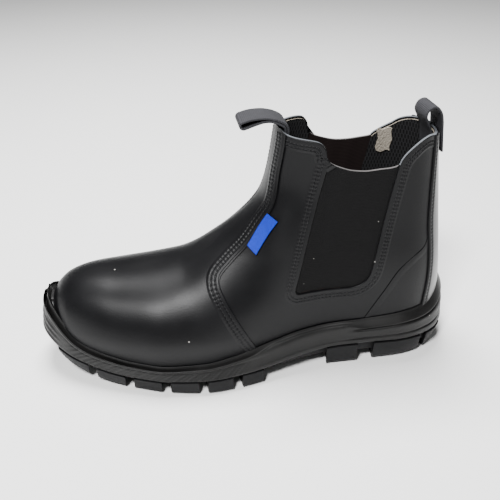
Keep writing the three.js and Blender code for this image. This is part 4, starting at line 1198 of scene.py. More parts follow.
@dataclass(frozen=True)
class SeamProfile:
    """Section of a sewn edge: its height over the leather at distances from the edge."""

    rows: tuple[float, ...]
    end: float
    plateau: float = 0.00032
    start: float = -0.00015
    edge_radius: float = 0.0007
    depth: float = 0.0015
    groove: float = 0.00034
    groove_width: float = 0.00042
    puff: float = 0.00014
    fade: float = 0.0026
    sunk: float = 0.00010
    spacing: float = 0.0003

    def places(self) -> Array:
        """Distances from the edge where the section has points."""
        near = self.start + self.edge_radius * (1 - np.cos(np.linspace(0, math.pi / 2, 6)))
        far = np.arange(near[-1] + self.spacing, self.end - self.spacing / 2, self.spacing)
        return np.concatenate([near, far, [self.end]])

    def height(self, distance: Array, travelled: Array) -> Array:
        """Height of the sewn leather.

        Args:
            distance: distances from the edge.
            travelled: lengths along the seam, which the stitches are counted on.

        Returns:
            Heights over the leather beside the seam.
        """
        fall = np.clip((self.start + self.edge_radius - distance) / self.edge_radius, 0, 1)
        height = self.plateau - self.edge_radius * (1 - np.sqrt(1 - fall ** 2))
        beat = 0.5 - 0.5 * np.cos(2 * math.pi * travelled / PITCH)
        for row in self.rows:
            near = np.exp(-((distance - row) / self.groove_width) ** 2)
            beside = np.exp(-((distance - row - 2.6 * self.groove_width) / (2 * self.groove_width)) ** 2)
            height = height - self.groove * near * (1 - 0.5 * beat) + self.puff * beside * beat
        return mix(-self.sunk, height, smooth(self.end, self.end - self.fade, distance) + 0 * travelled)


@dataclass
class Seams:
    """Sewn edges in relief, their stitches, and beads laid along lines."""

    finishes: Finishes
    stitch_length: float = 0.0019
    stitch_radius: float = 0.00030
    step: float = 0.00036
    stitches: list[tuple[Array, Array, Array]] = field(default_factory=list)

    def bead(self, name: str, line: Array, normals: Array, half_width: float, height: float,
             material: bpy.types.Material, slot: str, sides: int = 8) -> bpy.types.Object:
        """A half-sunk bead along a line.

        Args:
            name: name of the piece.
            line: points on the surface.
            normals: the surface's normals there.
            half_width: half the bead's width on the surface.
            height: how far it stands out.
            material: what it is made of.
            slot: passed on to place.
            sides: facets round it.

        Returns:
            The bead.
        """
        ways = np.gradient(line, axis=0)
        across = np.cross(normals, ways)
        across /= np.linalg.norm(across, axis=1)[:, None]
        turn = np.linspace(0, 2 * math.pi, sides + 1)
        order = np.arange(len(line))
        ends = np.sqrt(np.clip(np.minimum(order, order[::-1]) / 2, 0.02, 1))[:, None, None]
        rows = line[:, None] + ends * (across[:, None] * (np.cos(turn) * half_width)[None, :, None]
                                       + normals[:, None] * (np.sin(turn) * height)[None, :, None])
        piece = grid_piece(name, capped(rows))
        dress(piece, material)
        shade(piece, 60)
        place(piece, slot)
        return piece

    @staticmethod
    def march(line: Array, side: Side, places: Array) -> Array:
        """Side-view lines at distances from a line, measured over the leather to the left of its way.

        Args:
            line: side-view points of the edge.
            side: side of the boot.
            places: the distances, in rising order.

        Returns:
            Points of places by line points by X and Z.
        """
        spots: dict[float, Array] = {}
        for hand in (1.0, -1.0):
            spot = line
            reached = 0.0
            for distance in sorted((float(value) for value in places if value * hand >= 0), key=abs):
                count = max(1, math.ceil((abs(distance) - reached) / 0.0006))
                for _ in range(count):
                    normals = LAST.side_normals(spot[:, 0], spot[:, 1], side)
                    ways = np.gradient(LAST.side_surface(spot, side), axis=0)
                    across = np.cross(ways, normals) * side.value
                    across /= np.linalg.norm(across, axis=1)[:, None]
                    spot = spot + across[:, [0, 2]] * hand * (abs(distance) - reached) / count
                reached = abs(distance)
                spots[distance] = spot
        return np.stack([spots[float(value)] for value in places])

    def relief(self, name: str, line: Array, side: Side, lift: float, profile: SeamProfile) -> None:
        """A sewn edge as a band of leather that lies to the left of a line, with its stitches.

        Args:
            name: name of the piece.
            line: side-view points of the edge.
            side: side of the boot.
            lift: height of the leather that the band lies on.
            profile: section of the band.
        """
        line = even_line(line, int(line_length(line) / self.step))
        places = profile.places()
        spots = self.march(line, side, places)
        spots[..., 1] = np.minimum(spots[..., 1], collar_height(spots[..., 0], side) - 0.0003)
        surface = LAST.side_surface(line, side)
        travelled = travelled_along(surface)
        heights = profile.height(places[:, None], travelled[None, :])
        top = LAST.side_surface(spots, side, lift + heights)
        deep = LAST.side_surface(spots[:1], side, lift - profile.depth)
        under = LAST.side_surface(spots[[-1, len(spots) // 2]], side, lift - 0.0009)
        section = np.concatenate([deep, top, under, deep]).transpose(1, 0, 2)
        piece = grid_piece(name, capped(section))
        dress(piece, self.finishes.leather)
        shade(piece, 70)
        place(piece, "leather")
        for row in profile.rows:
            nearest = int(np.argmin(np.abs(places - row)))
            path = LAST.side_surface(spots[nearest], side, lift + heights[nearest] + 0.00008)
            normals = LAST.side_normals(spots[nearest][:, 0], spots[nearest][:, 1], side)
            self.row(path, normals, travelled)

    def row(self, line: Array, normals: Array, travelled: Array) -> None:
        """Keep a row of stitches along a line for sewing later."""
        middles = np.arange(PITCH / 2, travelled[-1], PITCH)

        def read(values: Array, at: Array) -> Array:
            """Values read at lengths along the row."""
            return np.stack([np.interp(at, travelled, values[:, axis]) for axis in range(3)], axis=1)

        ways = read(line, middles + PITCH / 3) - read(line, middles - PITCH / 3)
        long_enough = np.linalg.norm(ways, axis=1) > PITCH / 3
        self.stitches.append((read(line, middles)[long_enough], ways[long_enough],
                              read(normals, middles)[long_enough]))

    def sew(self, name: str = "stitches") -> bpy.types.Object:
        """Model one stitch and repeat it along every row that was kept.

        Returns:
            All stitches as one piece.
        """
        deselect()
        bpy.ops.mesh.primitive_uv_sphere_add(segments=8, ring_count=6, radius=1)
        model = bpy.context.object
        corners = np.array([vertex.co for vertex in model.data.vertices])
        faces = [tuple(face.vertices) for face in model.data.polygons]
        bpy.data.objects.remove(model)
        half = np.array([self.stitch_radius, self.stitch_radius, self.stitch_length / 2])
        shape = corners * half
        shape[:, 2] = np.sign(corners[:, 2]) * np.abs(corners[:, 2]) ** 0.7 * half[2]
        points: list[Array] = []
        polygons: list[tuple[int, ...]] = []
        for places, ways, normals in self.stitches:
            ways = ways / np.linalg.norm(ways, axis=1)[:, None]
            across = np.cross(normals, ways)
            across /= np.linalg.norm(across, axis=1)[:, None]
            upright = np.cross(ways, across)
            for spot, way, side, up in zip(places, ways, across, upright):
                start = len(points) * len(shape)
                slant = way + side * 0.12
                points.append(spot + shape[:, :1] * side + shape[:, 1:2] * up + shape[:, 2:] * slant)
                polygons.extend(tuple(start + corner for corner in face) for face in faces)
        mesh = bpy.data.meshes.new(name)
        mesh.from_pydata(np.concatenate(points).tolist(), [], polygons)
        piece = bpy.data.objects.new(name, mesh)
        bpy.context.scene.collection.objects.link(piece)
        dress(piece, self.finishes.thread)
        shade(piece, 80)
        place(piece, "leather")
        return piece


def collar_line(side: Side, drop: float = 0.0, count: int = 220) -> Array:
    """The collar's edge seen from the side, lowered by a distance."""
    sagging = side is Side.INNER
    rows = [HeightRow(row.at, row.height - row.sag * sagging) for row in COLLAR]
    return flowing_line(side_points(rows), count) - np.array([0, drop])


COLLAR_EDGES = {side: collar_line(side)[::-1] for side in Side}


def collar_height(x: Array | float, side: Side) -> Array:
    """Height of the collar's edge at places along the foot."""
    line = COLLAR_EDGES[side]
    return np.interp(x, line[:, 0], line[:, 1])


def trim_collar(piece: bpy.types.Object, drop: float, material: bpy.types.Material) -> None:
    """Cut a piece off along the collar's edge, which is a line of its own on each side.

    Args:
        piece: the piece.
        drop: how far under the edge it is cut.
        material: what the cut edge is made of.
    """
    for side in Side:
        line = collar_line(side, drop)
        high = 2 * SHAFT_HEIGHT
        outline = np.vstack([line, [[line[-1, 0], high], [line[0, 0], high]]])
        cut(piece, prism(outline, LAST.shift, side.value * FAR, 1, material), Cut.AWAY)


def deck_prism(material: bpy.types.Material) -> bpy.types.Object:
    """Everything under the deck."""
    x = np.linspace(-HALF_LENGTH - LIP_WIDTH, HALF_LENGTH + LIP_WIDTH, 120)
    line = np.stack([x, LAST.deck(x)], axis=1)
    outline = np.vstack([line, [[x[-1], -FAR], [x[0], -FAR]]])
    return prism(outline, -FAR, FAR, 1, material)


def vamp_prism(material: bpy.types.Material) -> bpy.types.Object:
    """Everything ahead of the vamp's edge."""
    line = flowing_line(side_points(VAMP_EDGE), 120)
    ahead = HALF_LENGTH + 4 * LIP_WIDTH
    outline = np.vstack([line, [[ahead, line[-1, 1]], [ahead, line[0, 1]]]])
    return prism(outline, -FAR, FAR, 1, material)


@dataclass
class Upper:
    """Quarters, vamp, lining, heel counter and back strip."""

    finishes: Finishes
    seams: Seams
    leather_thickness: float = 0.0017
    rings: int = 140
    columns: int = 130
    vamp_profile: SeamProfile = SeamProfile(rows=(0.0026, 0.0056), end=0.0096)
    window_profile: SeamProfile = SeamProfile(rows=(0.0033, 0.0056), end=0.0090, depth=0.0017)
    strip_profile: SeamProfile = SeamProfile(rows=(0.0024,), end=0.0066)
    counter_profile: SeamProfile = SeamProfile(rows=(), end=0.0070, plateau=0.00026, start=0.0002,
                                               edge_radius=0.00035, depth=0.0006, fade=0.0050)

    def build(self) -> None:
        """Make all leather pieces and their seams."""
        self.quarters()
        self.vamp()
        self.lining()
        for side in Side:
            self.counter_seam(side)
            self.vamp_seam(side)
            self.window_seam(side)
            self.strip_seam(side)
        self.back_strip()
        self.foam_patch()

    def shell(self, name: str, lift: float, thickness: float, material: bpy.types.Material,
              rings: int, columns: int) -> bpy.types.Object:
        """A closed wall that follows the whole last.

        Args:
            name: name of the piece.
            lift: how far its outer face lies outside the last.
            thickness: thickness of the wall.
            material: what it is made of.
            rings: rings over the last.
            columns: columns on one side.

        Returns:
            The wall, uncut.
        """
        piece = grid_piece(name, LAST.skin(lift, rings, columns), closed=False)
        centre = Vector((0.0, 0.0, SHAFT_HEIGHT / 3))
        if sum((face.center - centre).dot(face.normal) * face.area for face in piece.data.polygons) < 0:
            flip(piece)
        thicken(piece, thickness)
        dress(piece, material)
        return piece

    def quarters(self) -> None:
        """The leather behind and under the vamp, with its two windows."""
        piece = self.shell("upper_quarters", 0, self.leather_thickness, self.finishes.leather,
                           self.rings, self.columns)
        window = rounded_line(WINDOW)
        cut(piece, prism(window, -FAR, FAR, 1, self.finishes.leather), Cut.AWAY)
        trim_collar(piece, 0, self.finishes.raw_edge)
        cut(piece, deck_prism(self.finishes.leather), Cut.AWAY)
        shade(piece, 35)
        place(piece, "leather", "upper")

    def vamp(self) -> None:
        """The leather over the toes and instep, which lies on the quarters."""
        piece = self.shell("upper_vamp", VAMP_STEP, VAMP_STEP, self.finishes.leather,
                           self.rings, self.columns)
        cut(piece, vamp_prism(self.finishes.leather), Cut.KEEP)
        trim_collar(piece, -0.0004, self.finishes.raw_edge)
        cut(piece, deck_prism(self.finishes.leather), Cut.AWAY)
        shade(piece, 35)
        place(piece, "leather", "upper")

    def lining(self) -> None:
        """The mesh lining inside the leather, cut a little lower at the collar."""
        piece = self.shell("upper_lining", -self.leather_thickness - 0.00005, 0.00065,
                           self.finishes.mesh_lining, 60, 60)
        window = rounded_line(WINDOW)
        cut(piece, prism(window, -FAR, FAR, 1, self.finishes.mesh_lining), Cut.AWAY)
        trim_collar(piece, 0.0015, self.finishes.foam)
        cut(piece, deck_prism(self.finishes.mesh_lining), Cut.AWAY)
        shade(piece, 35)
        place(piece, "leather", "upper")

    def counter_seam(self, side: Side) -> None:
        """Front edge of the heel counter's panel in relief, with a bead of painted shadow along it as a fine
        dark line on the quarter.
        """
        seam = flowing_line(side_points(COUNTER_SEAM), 200)[::-1]
        seam = seam[seam[:, 0] > self.strip_edge(seam[:, 1], side)]
        name = f"counter_edge_{side.name.lower()}"
        self.seams.relief(name, seam, side, 0.0, self.counter_profile)
        path = even_line(seam, 120)
        normals = LAST.side_normals(path[:, 0], path[:, 1], side)
        # Painted shadow: a thin near-black bead along the edge stands in for the shade in the seam's gap.
        self.seams.bead(f"{name}_gap", LAST.side_surface(path, side, 0.00002), normals, 0.00026, 0.00005,
                        self.finishes.seam_shadow, "leather")

    def vamp_seam(self, side: Side) -> None:
        """The vamp's rolled edge with its two rows of stitches."""
        line = flowing_line(side_points(VAMP_EDGE), 400)
        above_sole = line[:, 1] > LAST.deck(line[:, 0])
        below_collar = line[:, 1] < collar_height(line[:, 0], side) + 0.0004
        self.seams.relief(f"vamp_edge_{side.name.lower()}", line[above_sole & below_collar], side, VAMP_STEP,
                          self.vamp_profile)

    def window_seam(self, side: Side) -> None:
        """The edge that runs along the collar, down round the window and up to the back strip."""
        window = even_line(rounded_line(WINDOW), 400)
        window = window[window[:, 1] < collar_height(window[:, 0], side)]
        collar = collar_line(side, count=500)
        front = collar[(collar[:, 0] > window[0, 0] + 0.0004) & (collar[:, 0] < along(0.4225))]
        rear_limit = self.strip_edge(collar[:, 1], side) - 0.001
        rear = collar[(collar[:, 0] < window[-1, 0] - 0.0004) & (collar[:, 0] > rear_limit)]
        line = even_line(np.vstack([front, window, rear]), 700)
        soft = np.ones(5) / 5
        padded = np.vstack([line[:1], line[:1], line, line[-1:], line[-1:]])
        line = np.stack([np.convolve(padded[:, axis], soft, "valid") for axis in (0, 1)], axis=1)
        self.seams.relief(f"window_edge_{side.name.lower()}", line, side, 0.0, self.window_profile)

    @staticmethod
    def strip_edge(heights: Array, side: Side) -> Array:
        """Place along the foot of the back strip's edge at heights."""
        return LAST.back_places(LAST.strip(heights) * side.value, heights)

    def strip_seam(self, side: Side) -> None:
        """One stitched edge of the back strip."""
        heights = np.linspace(LIP_HEIGHT, SHAFT_HEIGHT, 300)
        line = np.stack([self.strip_edge(heights, side), heights], axis=1)
        line = line[line[:, 1] < collar_height(line[:, 0], side) + 0.0004]
        self.seams.relief(f"strip_edge_{side.name.lower()}", line, side, 0.0011, self.strip_profile)

    def back_strip(self) -> None:
        """The leather strip over the back seam."""
        heights = np.linspace(LIP_HEIGHT, SHAFT_HEIGHT * 0.962, 120)[:, None]
        turn = np.linspace(-1, 1, 81)[None, :]
        across = (LAST.strip(heights) - 0.0006) * np.sin(turn * math.pi / 2)
        points = LAST.back_surface(across, heights + 0 * across, 0.0012 + 0 * across)
        piece = grid_piece("back_strip_leather", points, closed=False)
        face_outwards(piece, Vector((-1, 0, 0)))
        thicken(piece, 0.0010)
        dress(piece, self.finishes.strip_leather)
        shade(piece, 60)
        place(piece, "leather", "back_strip")

    def foam_patch(self) -> None:
        """The bare foam that shows inside the rear quarter."""
        u = np.linspace(0, 1, 24)[None, :]
        v = np.linspace(0, 1, 28)[:, None]
        x = along(mix(0.128, 0.165, u)) + 0.0006 * np.sin(9 * v)
        z = SHAFT_HEIGHT * mix(0.80, 0.90, v) + 0.0008 * np.sin(7 * u)
        grid = np.stack(np.broadcast_arrays(x, z), axis=-1)
        rough = 0.00025 * np.sin(u * 31) * np.sin(v * 27)
        points = LAST.side_surface(grid, Side.INNER, -WALL - 0.0010 + rough)
        piece = grid_piece("collar_foam", points, closed=False)
        face_outwards(piece, Vector((0, 1, 0)))
        thicken(piece, 0.0008)
        dress(piece, self.finishes.foam)
        shade(piece, 60)
        place(piece, "leather")


@dataclass
class Gussets:
    """The two elastic side panels."""

    finishes: Finishes
    rows: int = 90
    columns: int = 60
    gap: float = 0.0002

    def build(self) -> None:
        """Make both panels with their selvedges."""
        for side in Side:
            self.panel(side)

    def panel(self, side: Side) -> None:
        """One elastic panel, pulled in a little between its edges.

        Args:
            side: side of the boot.
        """
        window = rounded_line(WINDOW, 24)
        bottom = window[:, 1].min()
        grid = np.zeros((self.rows, self.columns, 2))
        front, rear = self.edges(window)
        levels = 1 - np.cos(np.linspace(0, math.pi / 2, self.rows))
        for i, level in enumerate(levels):
            z_front = self.level(front, bottom, level, side)
            z_rear = self.level(rear, bottom, level, side)
            first = np.array([np.interp(z_front, front[:, 1], front[:, 0]) - self.gap, z_front])
            last = np.array([np.interp(z_rear, rear[:, 1], rear[:, 0]) + self.gap, z_rear])
            share = np.linspace(0, 1, self.columns)[:, None]
            grid[i] = mix(first, last, share)
            top = collar_height(grid[i, :, 0], side) - 0.0002
            grid[i, :, 1] = mix(bottom + self.gap, top, level)
        share = np.linspace(0, 1, self.columns)[None, :]
        rise = levels[:, None]
        pull = 0.0005 * np.sin(share * math.pi) * np.sin(rise * math.pi)
        ripple = 0.00012 * np.sin(share * math.pi * 7 + rise * 2)
        name = f"elastic_{'outer' if side is Side.OUTER else 'inner'}"
        points = LAST.side_surface(grid, side, -ELASTIC_RECESS - pull + ripple)
        piece = grid_piece(name, points, closed=False)
        face_outwards(piece, Vector((0, side.value, 0)))
        thicken(piece, 0.0013)
        dress(piece, self.finishes.elastic)
        piece.data.materials.append(self.finishes.inside_elastic)
        for face in piece.data.polygons:
            face.material_index = 1 if face.normal.y * side.value < -0.3 else 0
        shade(piece, 50)
        place(piece, "elastic", "gusset_lateral" if side is Side.OUTER else "gusset_medial")
        self.selvedge(piece.name, points[-1], side)

    @staticmethod
    def level(edge: Array, bottom: float, level: float, side: Side) -> float:
        """Height on a window edge at a level between its bottom and the collar."""
        top = edge[np.argmin(np.abs(edge[:, 1] - collar_height(edge[:, 0], side))), 1]
        return float(mix(bottom, top, level))

    @staticmethod
    def edges(window: Array) -> tuple[Array, Array]:
        """The window's front and rear edges, each from its bottom up."""
        lowest = window[:, 1].min()
        close = np.where(window[:, 1] < lowest + 0.002)[0]
        turn = close[len(close) // 2]
        front = window[:turn + 1][::-1]
        rear = window[turn:]
        return dense_upwards(front), dense_upwards(rear)

    def selvedge(self, name: str, line: Array, side: Side) -> None:
        """The pale woven edge along the top of the elastic."""
        normals = np.tile(np.array([0.0, 0.0, 1.0]), (len(line), 1))
        path = even_line(line - np.array([0, side.value * 0.0006, 0]), 60)
        Seams(self.finishes).bead(f"{name}_selvedge", path, normals[:60], 0.0007, 0.00035,
                                  self.finishes.elastic_edge, "elastic")


def dense_upwards(edge: Array) -> Array:
    """An edge sorted by height, for reading X at a height."""
    line = even_line(edge, 400)
    return line[np.argsort(line[:, 1])]


@dataclass
class Sole:
    """Midsole wall with its lip and ribs, tread and insole."""

    finishes: Finishes
    columns: int = 330
    line_steps: int = 5
    rib_pitch: float = 0.0085
    rib_height: float = 0.0006
    bumper_width: float = 0.018
    bumper_rise: float = 0.0018
    lug_proud: float = 0.0025
    tread_depth: float = 0.0085
    heel_tread_depth: float = 0.009

    def build(self) -> None:
        """Make the three pieces of the sole."""
        self.midsole()
        self.outsole()
        self.insole()

    def wall(self, x: Array) -> tuple[Array, Array]:
        """Section of the midsole's wall at places along the foot.

        Args:
            x: the places.

        Returns:
            Insets in metres and shares of the height, each of wall points by places.
        """
        share = share_of(x)[None, :, None]
        fore, waist, heel = (blendable_curve(knots, self.line_steps)[:, None] for knots in zip(*WALL_LINES))
        section = mix(fore, waist, smooth(0.56, 0.45, share))
        section = mix(section, heel, smooth(0.290, 0.225, share))
        return section[..., 0] * LIP_WIDTH, section[..., 1]

    def ribs(self, x: Array, level: Array, travelled: Array) -> Array:
        """Slanted ribs on the wall over the forefoot lugs, and lines round the toe and the heel's back."""
        share = share_of(x)
        turn = (travelled + level * 0.016) / self.rib_pitch
        wave = np.abs(np.mod(turn, 1) - 0.5) * 2
        band = smooth(0.06, 0.12, level) * (1 - smooth(0.62, 0.70, level))
        fore = smooth(0.50, 0.56, share) * (1 - smooth(0.93, 0.96, share))
        slanted = self.rib_height * (smooth(0.25, 0.55, wave) - smooth(0.62, 0.90, wave)) * fore
        rings = 0.5 - 0.5 * np.cos(level * 2 * math.pi * 5)
        ringed = 0.0007 * rings * (smooth(0.955, 0.985, share) + 0.8 * smooth(0.050, 0.015, share))
        return band * (slanted + ringed)

    def midsole(self) -> None:
        """The wall as a closed band: outside from bottom to lip, over the lip and down inside."""
        outline = LAST.outline(self.columns, 0)
        inner = LAST.outline(self.columns, LIP_WIDTH * 2.6)
        outward = outward_ways(outline)
        travelled = travelled_along(outline)[None, :]
        x = outline[:, 0]
        inset, level = self.wall(x)
        bottom = LAST.outsole_top(x) + PLAY
        top = LAST.lip(x) + self.bumper(outline)
        inset = inset - LAST.edge_flare(x) * (1 - np.clip(level, 0, 1))
        inset = inset - self.ribs(x[None, :], level, travelled)
        plan = outline[None, :] - outward[None, :] * inset[..., None]
        wall = np.concatenate([plan, mix(bottom[None, :], top[None, :], level)[..., None]], axis=-1)
        inside = [np.concatenate([inner, height[:, None]], axis=1)[None]
                  for height in (top - LIP_TUCK * 1.4, bottom)]
        piece = grid_piece("midsole_wall", np.concatenate([wall, *inside, wall[:1]]))
        dress(piece, self.finishes.midsole)
        shade(piece, 50)
        place(piece, "midsole", "midsole")

    def bumper(self, outline: Array) -> Array:
        """How far the lip rises into the toe bumper."""
        from_tip = np.abs(outline[:, 1] - LAST.bend(LAST.toe_tip))
        ahead = smooth(HALF_LENGTH - 0.016, HALF_LENGTH - 0.010, outline[:, 0])
        return self.bumper_rise * smooth(self.bumper_width / 2, self.bumper_width / 3, from_tip) * ahead

    @staticmethod
    def ground(x: Array) -> Array:
        """Ground line of the tread, lifted at the toe and at the back of the heel."""
        toe = np.clip((x - HALF_LENGTH + 0.052) / 0.052, 0, 1)
        heel = np.clip((0.020 - HALF_LENGTH - x) / 0.020, 0, 1)
        return 0.014 * toe ** 2 + 0.006 * heel ** 1.5

    def slab(self, name: str, rows: Sequence[WallRow], bottom: Callable[[Array], Array],
             top: Callable[[Array], Array], flare: Callable[[Array, float], Array],
             columns: int = 110) -> bpy.types.Object:
        """A solid slab of the sole between two heights.

        Args:
            name: name of the piece.
            rows: its wall.
            bottom: height of its underside at places along the foot.
            top: height of its upper side at places along the foot.
            flare: how far it stands out at a place and a level.
            columns: points on one side of the outline.

        Returns:
            The slab.
        """
        plain = LAST.outline(columns, 0)
        outward = outward_ways(plain)
        x = plain[:, 0]
        wall = []
        for row in rows:
            inset = row.inset * LIP_WIDTH - flare(x, row.level)
            loop = plain - outward * inset[:, None]
            wall.append(np.concatenate([loop, mix(bottom(x), top(x), row.level)[:, None]], axis=1))
        caps = []
        for edge in (wall[0], wall[-1]):
            centre = edge.copy()
            centre[:, 1] = LAST.bend(centre[:, 0])
            caps.append([mix(edge, centre, share) for share in (1.0, 0.5)])
        return grid_piece(name, np.stack([*caps[0], *wall, *caps[1][::-1]]))

    def lug_cutter(self) -> bpy.types.Object:
        """All lugs and centre blocks as upright prisms."""
        prisms = []
        for row in LUGS:
            for side in Side:
                prisms.append(self.lug_prism(row, side))
        for row in CENTRE_BLOCKS:
            prisms.append(self.block_prism(row))
        return joined(prisms, "lug_cutter")

    @staticmethod
    def lug_prism(row: LugRow, side: Side) -> bpy.types.Object:
        """One edge lug seen from below; its slant moves its outer end along the foot."""
        near = row.inner * HEEL_WIDTH / 2
        lean = row.slant * SOLE_LENGTH
        middle = float(LAST.bend(along((row.start + row.stop) / 2)))
        reach = 0.75 * BALL_WIDTH
        start, stop = along(row.start), along(row.stop)
        outline = np.array([
            (start - lean * 0.4, middle + side.value * near),
            (stop - lean * 0.4, middle + side.value * near),
            (stop + lean * 0.6, middle + side.value * reach),
            (start + lean * 0.6, middle + side.value * reach),
        ])
        return prism(outline, -0.002, LIP_HEIGHT, 2)

    @staticmethod
    def block_prism(row: LugRow) -> bpy.types.Object:
        """One pointed block in the middle of the tread."""
        start, stop = along(row.start), along(row.stop)
        middle = float(LAST.bend((start + stop) / 2))
        wide = row.inner * HEEL_WIDTH
        notch = 0.25 * (stop - start)
        outline = np.array([
            (start + notch, middle - wide), (stop - notch, middle - wide), (stop, middle),
            (stop - notch, middle + wide), (start + notch, middle + wide), (start, middle),
        ])
        return prism(outline, -0.002, LIP_HEIGHT, 2)

    def outsole(self) -> None:
        """Plate and lugs in one piece, with rounded edges."""
        def plate_top(x: Array) -> Array:
            """Top of the plate, just under the midsole."""
            return LAST.outsole_top(x) - PLAY

        def plate_bottom(x: Array) -> Array:
            """Underside of the plate, between the lugs."""
            depth = mix(self.heel_tread_depth, self.tread_depth, smooth(0.3, 0.5, share_of(x)))
            return np.minimum(self.ground(x) + depth, LAST.outsole_top(x) - 0.002)

        def lug_flare(x: Array, level: float) -> Array:
            """How far the lugs stand out, from the ground up to the plate."""
            return mix(LAST.tread_flare(x), LAST.edge_flare(x), level)

        lug_wall = (WallRow(0.0, 0.62), WallRow(0.13, 0.22), WallRow(0.22, 0.08), WallRow(1.0, 0.02))
        plate_wall = (WallRow(0.0, 0.30), WallRow(1.0, 0.20))
        tread = self.slab("outsole_tread", lug_wall, self.ground, lambda x: plate_top(x) - 0.0005, lug_flare)
        cut(tread, self.lug_cutter(), Cut.KEEP, overlapping=True)
        plate = self.slab("plate", plate_wall, plate_bottom, plate_top,
                          lambda x, level: LAST.edge_flare(x) - self.lug_proud)
        cut(tread, plate, Cut.JOIN)
        finish_mesh(tread, 1e-5)
        bevel(tread, 0.0007, 3, 32)
        tread.data.materials.clear()
        dress(tread, self.finishes.tread)
        shade(tread, 35)
        place(tread, "tread", "outsole")

    def insole(self) -> None:
        """The insole, from the frame's own solid, shaded smooth."""
        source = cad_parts["insole"]
        piece = source.copy()
        piece.data = source.data.copy()
        for key in list(piece.keys()):
            del piece[key]
        piece.parent = None
        piece.name = piece.data.name = "insole_cloth"
        bpy.context.scene.collection.objects.link(piece)
        finish_mesh(piece, 1e-5)
        piece.data.materials.clear()
        dress(piece, self.finishes.insole)
        shade(piece, 30)
        place(piece, "insole", "insole")


@dataclass
class Webbing:
    """Pull loops and the side tab."""

    finishes: Finishes
    seams: Seams
    rib: float = 0.00012
    rib_pitch: float = 0.0011

    def build(self) -> None:
        """Make both loops and the tab."""
        self.front_loop()
        self.rear_loop()
        self.side_tab()

    def strap(self, name: str, path: Array, node: str) -> bpy.types.Object:
        """A ribbed strap along a side-view path.

        Args:
            name: name of the piece.
            path: middle line of the strap, X and Z.
            node: node that it replaces.

        Returns:
            The strap.
        """
        line = even_line(path, int(line_length(path) / 0.00028))
        way = np.gradient(line, axis=0)
        way /= np.linalg.norm(way, axis=1)[:, None]
        normal = np.stack([-way[:, 1], way[:, 0]], axis=1)
        travelled = np.linspace(0, line_length(line), len(line))
        ribs = self.rib * np.abs(np.sin(travelled / self.rib_pitch * math.pi))
        half_width = WEBBING_WIDTH / 2
        half = WEBBING_THICKNESS / 2 - self.rib
        round_steps = np.linspace(0, math.pi, 7)
        flat = np.linspace(-1, 1, 12)[1:-1]
        edge = half_width - half
        section = ([(edge + math.sin(t) * half, math.cos(t) * half) for t in round_steps]
                   + [(-y * edge, -half) for y in flat]
                   + [(-edge - math.sin(t) * half, -math.cos(t) * half) for t in round_steps]
                   + [(y * edge, half) for y in flat])
        section = np.asarray([*section, section[0]])
        out = section[:, 1][None, :] * (1 + ribs[:, None] / half)
        x = line[:, :1] + normal[:, :1] * out
        z = line[:, 1:] + normal[:, 1:] * out
        y = np.broadcast_to(section[:, 0][None, :] + LAST.bend(0.0), x.shape)
        rows = np.stack([x, y, z], axis=-1)
        piece = grid_piece(name, capped(rows))
        dress(piece, self.finishes.webbing)
        shade(piece, 60)
        place(piece, "webbing", node)
        return piece

    def front_loop(self) -> None:
        """The front loop: webbing folded on itself, fuller at its tip, which points forwards."""
        middle = flowing_line(side_points(FRONT_LOOP), 120)
        apart = WEBBING_THICKNESS / 2 + 0.00004 + 0.0013 * smooth(0.62, 0.97, np.linspace(0, 1, len(middle)))
        way = np.gradient(middle, axis=0)
        way /= np.linalg.norm(way, axis=1)[:, None]
        side = np.stack([-way[:, 1], way[:, 0]], axis=1)
        turn = np.linspace(math.pi / 2, -math.pi / 2, 18)[1:-1, None]
        fold = middle[-1] + (side[-1] * np.sin(turn) + way[-1] * np.cos(turn)) * apart[-1]
        leg = side * apart[:, None]
        path = np.vstack([middle + leg, fold, (middle - leg)[::-1]])
        self.strap("front_pull_loop", path, "pull_loop_front")

    def rear_loop(self) -> None:
        """The rear loop, which stands up from the back of the collar."""
        self.strap("rear_pull_loop", flowing_line(side_points(REAR_LOOP), 160), "pull_loop_rear")

    def side_tab(self) -> None:
        """The small bare cloth tab that is sewn in at the vamp's edge."""
        corners = np.asarray(side_points(TAB))
        u = np.linspace(-0.02, 1, 26)[None, :, None]
        v = np.linspace(0, 1, 60)[:, None, None]
        near = mix(corners[0], corners[3], v)
        free = mix(corners[1], corners[2], v)
        grid = mix(near, free, u)
        share = np.clip(u[..., 0], 0, 1) + 0 * v[..., 0]
        lift = 0.0012 + 0.0008 * share ** 2
        piece = grid_piece("side_tab_cloth", LAST.side_surface(grid, Side.OUTER, lift), closed=False)
        face_outwards(piece, Vector((0, 1, 0)))
        thicken(piece, 0.0008)
        bevel(piece, 0.00025, 2, 40)
        dress(piece, self.finishes.tab)
        shade(piece, 60)
        place(piece, "tab", "side_tab")


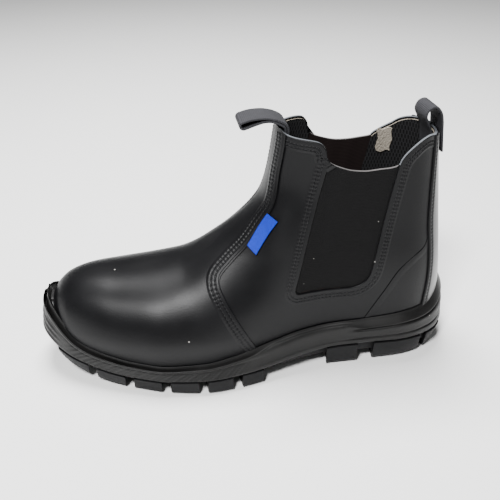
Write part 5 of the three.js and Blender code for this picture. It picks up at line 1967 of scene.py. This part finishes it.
@dataclass
class Studio:
    """Floor, light and camera."""

    focal_pixels: float = 619.0
    picture: float = 500.0
    sensor: float = 36.0
    eye: tuple[float, float, float] = (0.0563, 0.3702, 0.3100)
    aim: tuple[float, float, float] = (-0.00175, -0.0008, 0.0800)
    raise_pixels: float = 1.7

    def build(self) -> None:
        """Set up the picture."""
        self.floor()
        self.lights()
        self.camera()

    @staticmethod
    def floor() -> None:
        """A plain pale floor."""
        deselect()
        bpy.ops.mesh.primitive_plane_add(size=14)
        floor = bpy.context.object
        floor.name = "studio_floor"
        material = bpy.data.materials.new("Pale floor")
        material.use_nodes = True
        graph = Graph(material.node_tree)
        shader = material.node_tree.nodes["Principled BSDF"]
        noise = graph.noise(graph.add("ShaderNodeTexCoord").outputs["Object"], 3.0)
        tone = graph.blend(noise, rgba((0.90, 0.90, 0.895)), rgba((0.92, 0.92, 0.915)))
        graph.wire(tone, shader.inputs["Base Color"])
        shader.inputs["Roughness"].default_value = 0.75
        shader.inputs["Specular IOR Level"].default_value = 0.2
        dress(floor, material)

    @staticmethod
    def lights() -> None:
        """Soft light from above, a weaker one from the toe's side and a pale room."""
        world = bpy.context.scene.world or bpy.data.worlds.new("room")
        bpy.context.scene.world = world
        world.use_nodes = True
        background = world.node_tree.nodes["Background"]
        background.inputs["Color"].default_value = (1.0, 1.0, 1.0, 1.0)
        background.inputs["Strength"].default_value = 0.15
        for name, spot, aim, size, power in (
            ("overhead", (0.05, -0.35, 1.25), (0.0, 0.0, 0.05), 0.52, 38.0),
            ("toe_side", (0.40, 0.62, 1.10), (0.03, 0.0, 0.05), 0.24, 27.0),
        ):
            deselect()
            bpy.ops.object.light_add(type="AREA", location=spot)
            light = bpy.context.object
            light.name = name
            light.data.size = size
            light.data.energy = power
            light.rotation_euler = (Vector(aim) - Vector(spot)).to_track_quat("-Z", "Y").to_euler()

    def camera(self) -> None:
        """The camera at the photograph's angle to the boot."""
        deselect()
        bpy.ops.object.camera_add(location=self.eye)
        camera = bpy.context.object
        camera.rotation_euler = (Vector(self.aim) - Vector(self.eye)).to_track_quat("-Z", "Y").to_euler()
        camera.data.sensor_width = self.sensor
        camera.data.lens = self.sensor * self.focal_pixels / self.picture
        camera.data.shift_y = -self.raise_pixels / self.picture
        camera.data.clip_start = 0.01
        bpy.context.scene.camera = camera


def main() -> None:
    """Dress the boot and set up the picture."""
    logging.basicConfig(level=logging.INFO, format="%(name)s %(message)s")
    Studio().build()
    finishes = Finishes()
    seams = Seams(finishes)
    Sole(finishes).build()
    Upper(finishes, seams).build()
    Gussets(finishes).build()
    Webbing(finishes, seams).build()
    seams.sew()


if __name__ == "__main__":
    main()
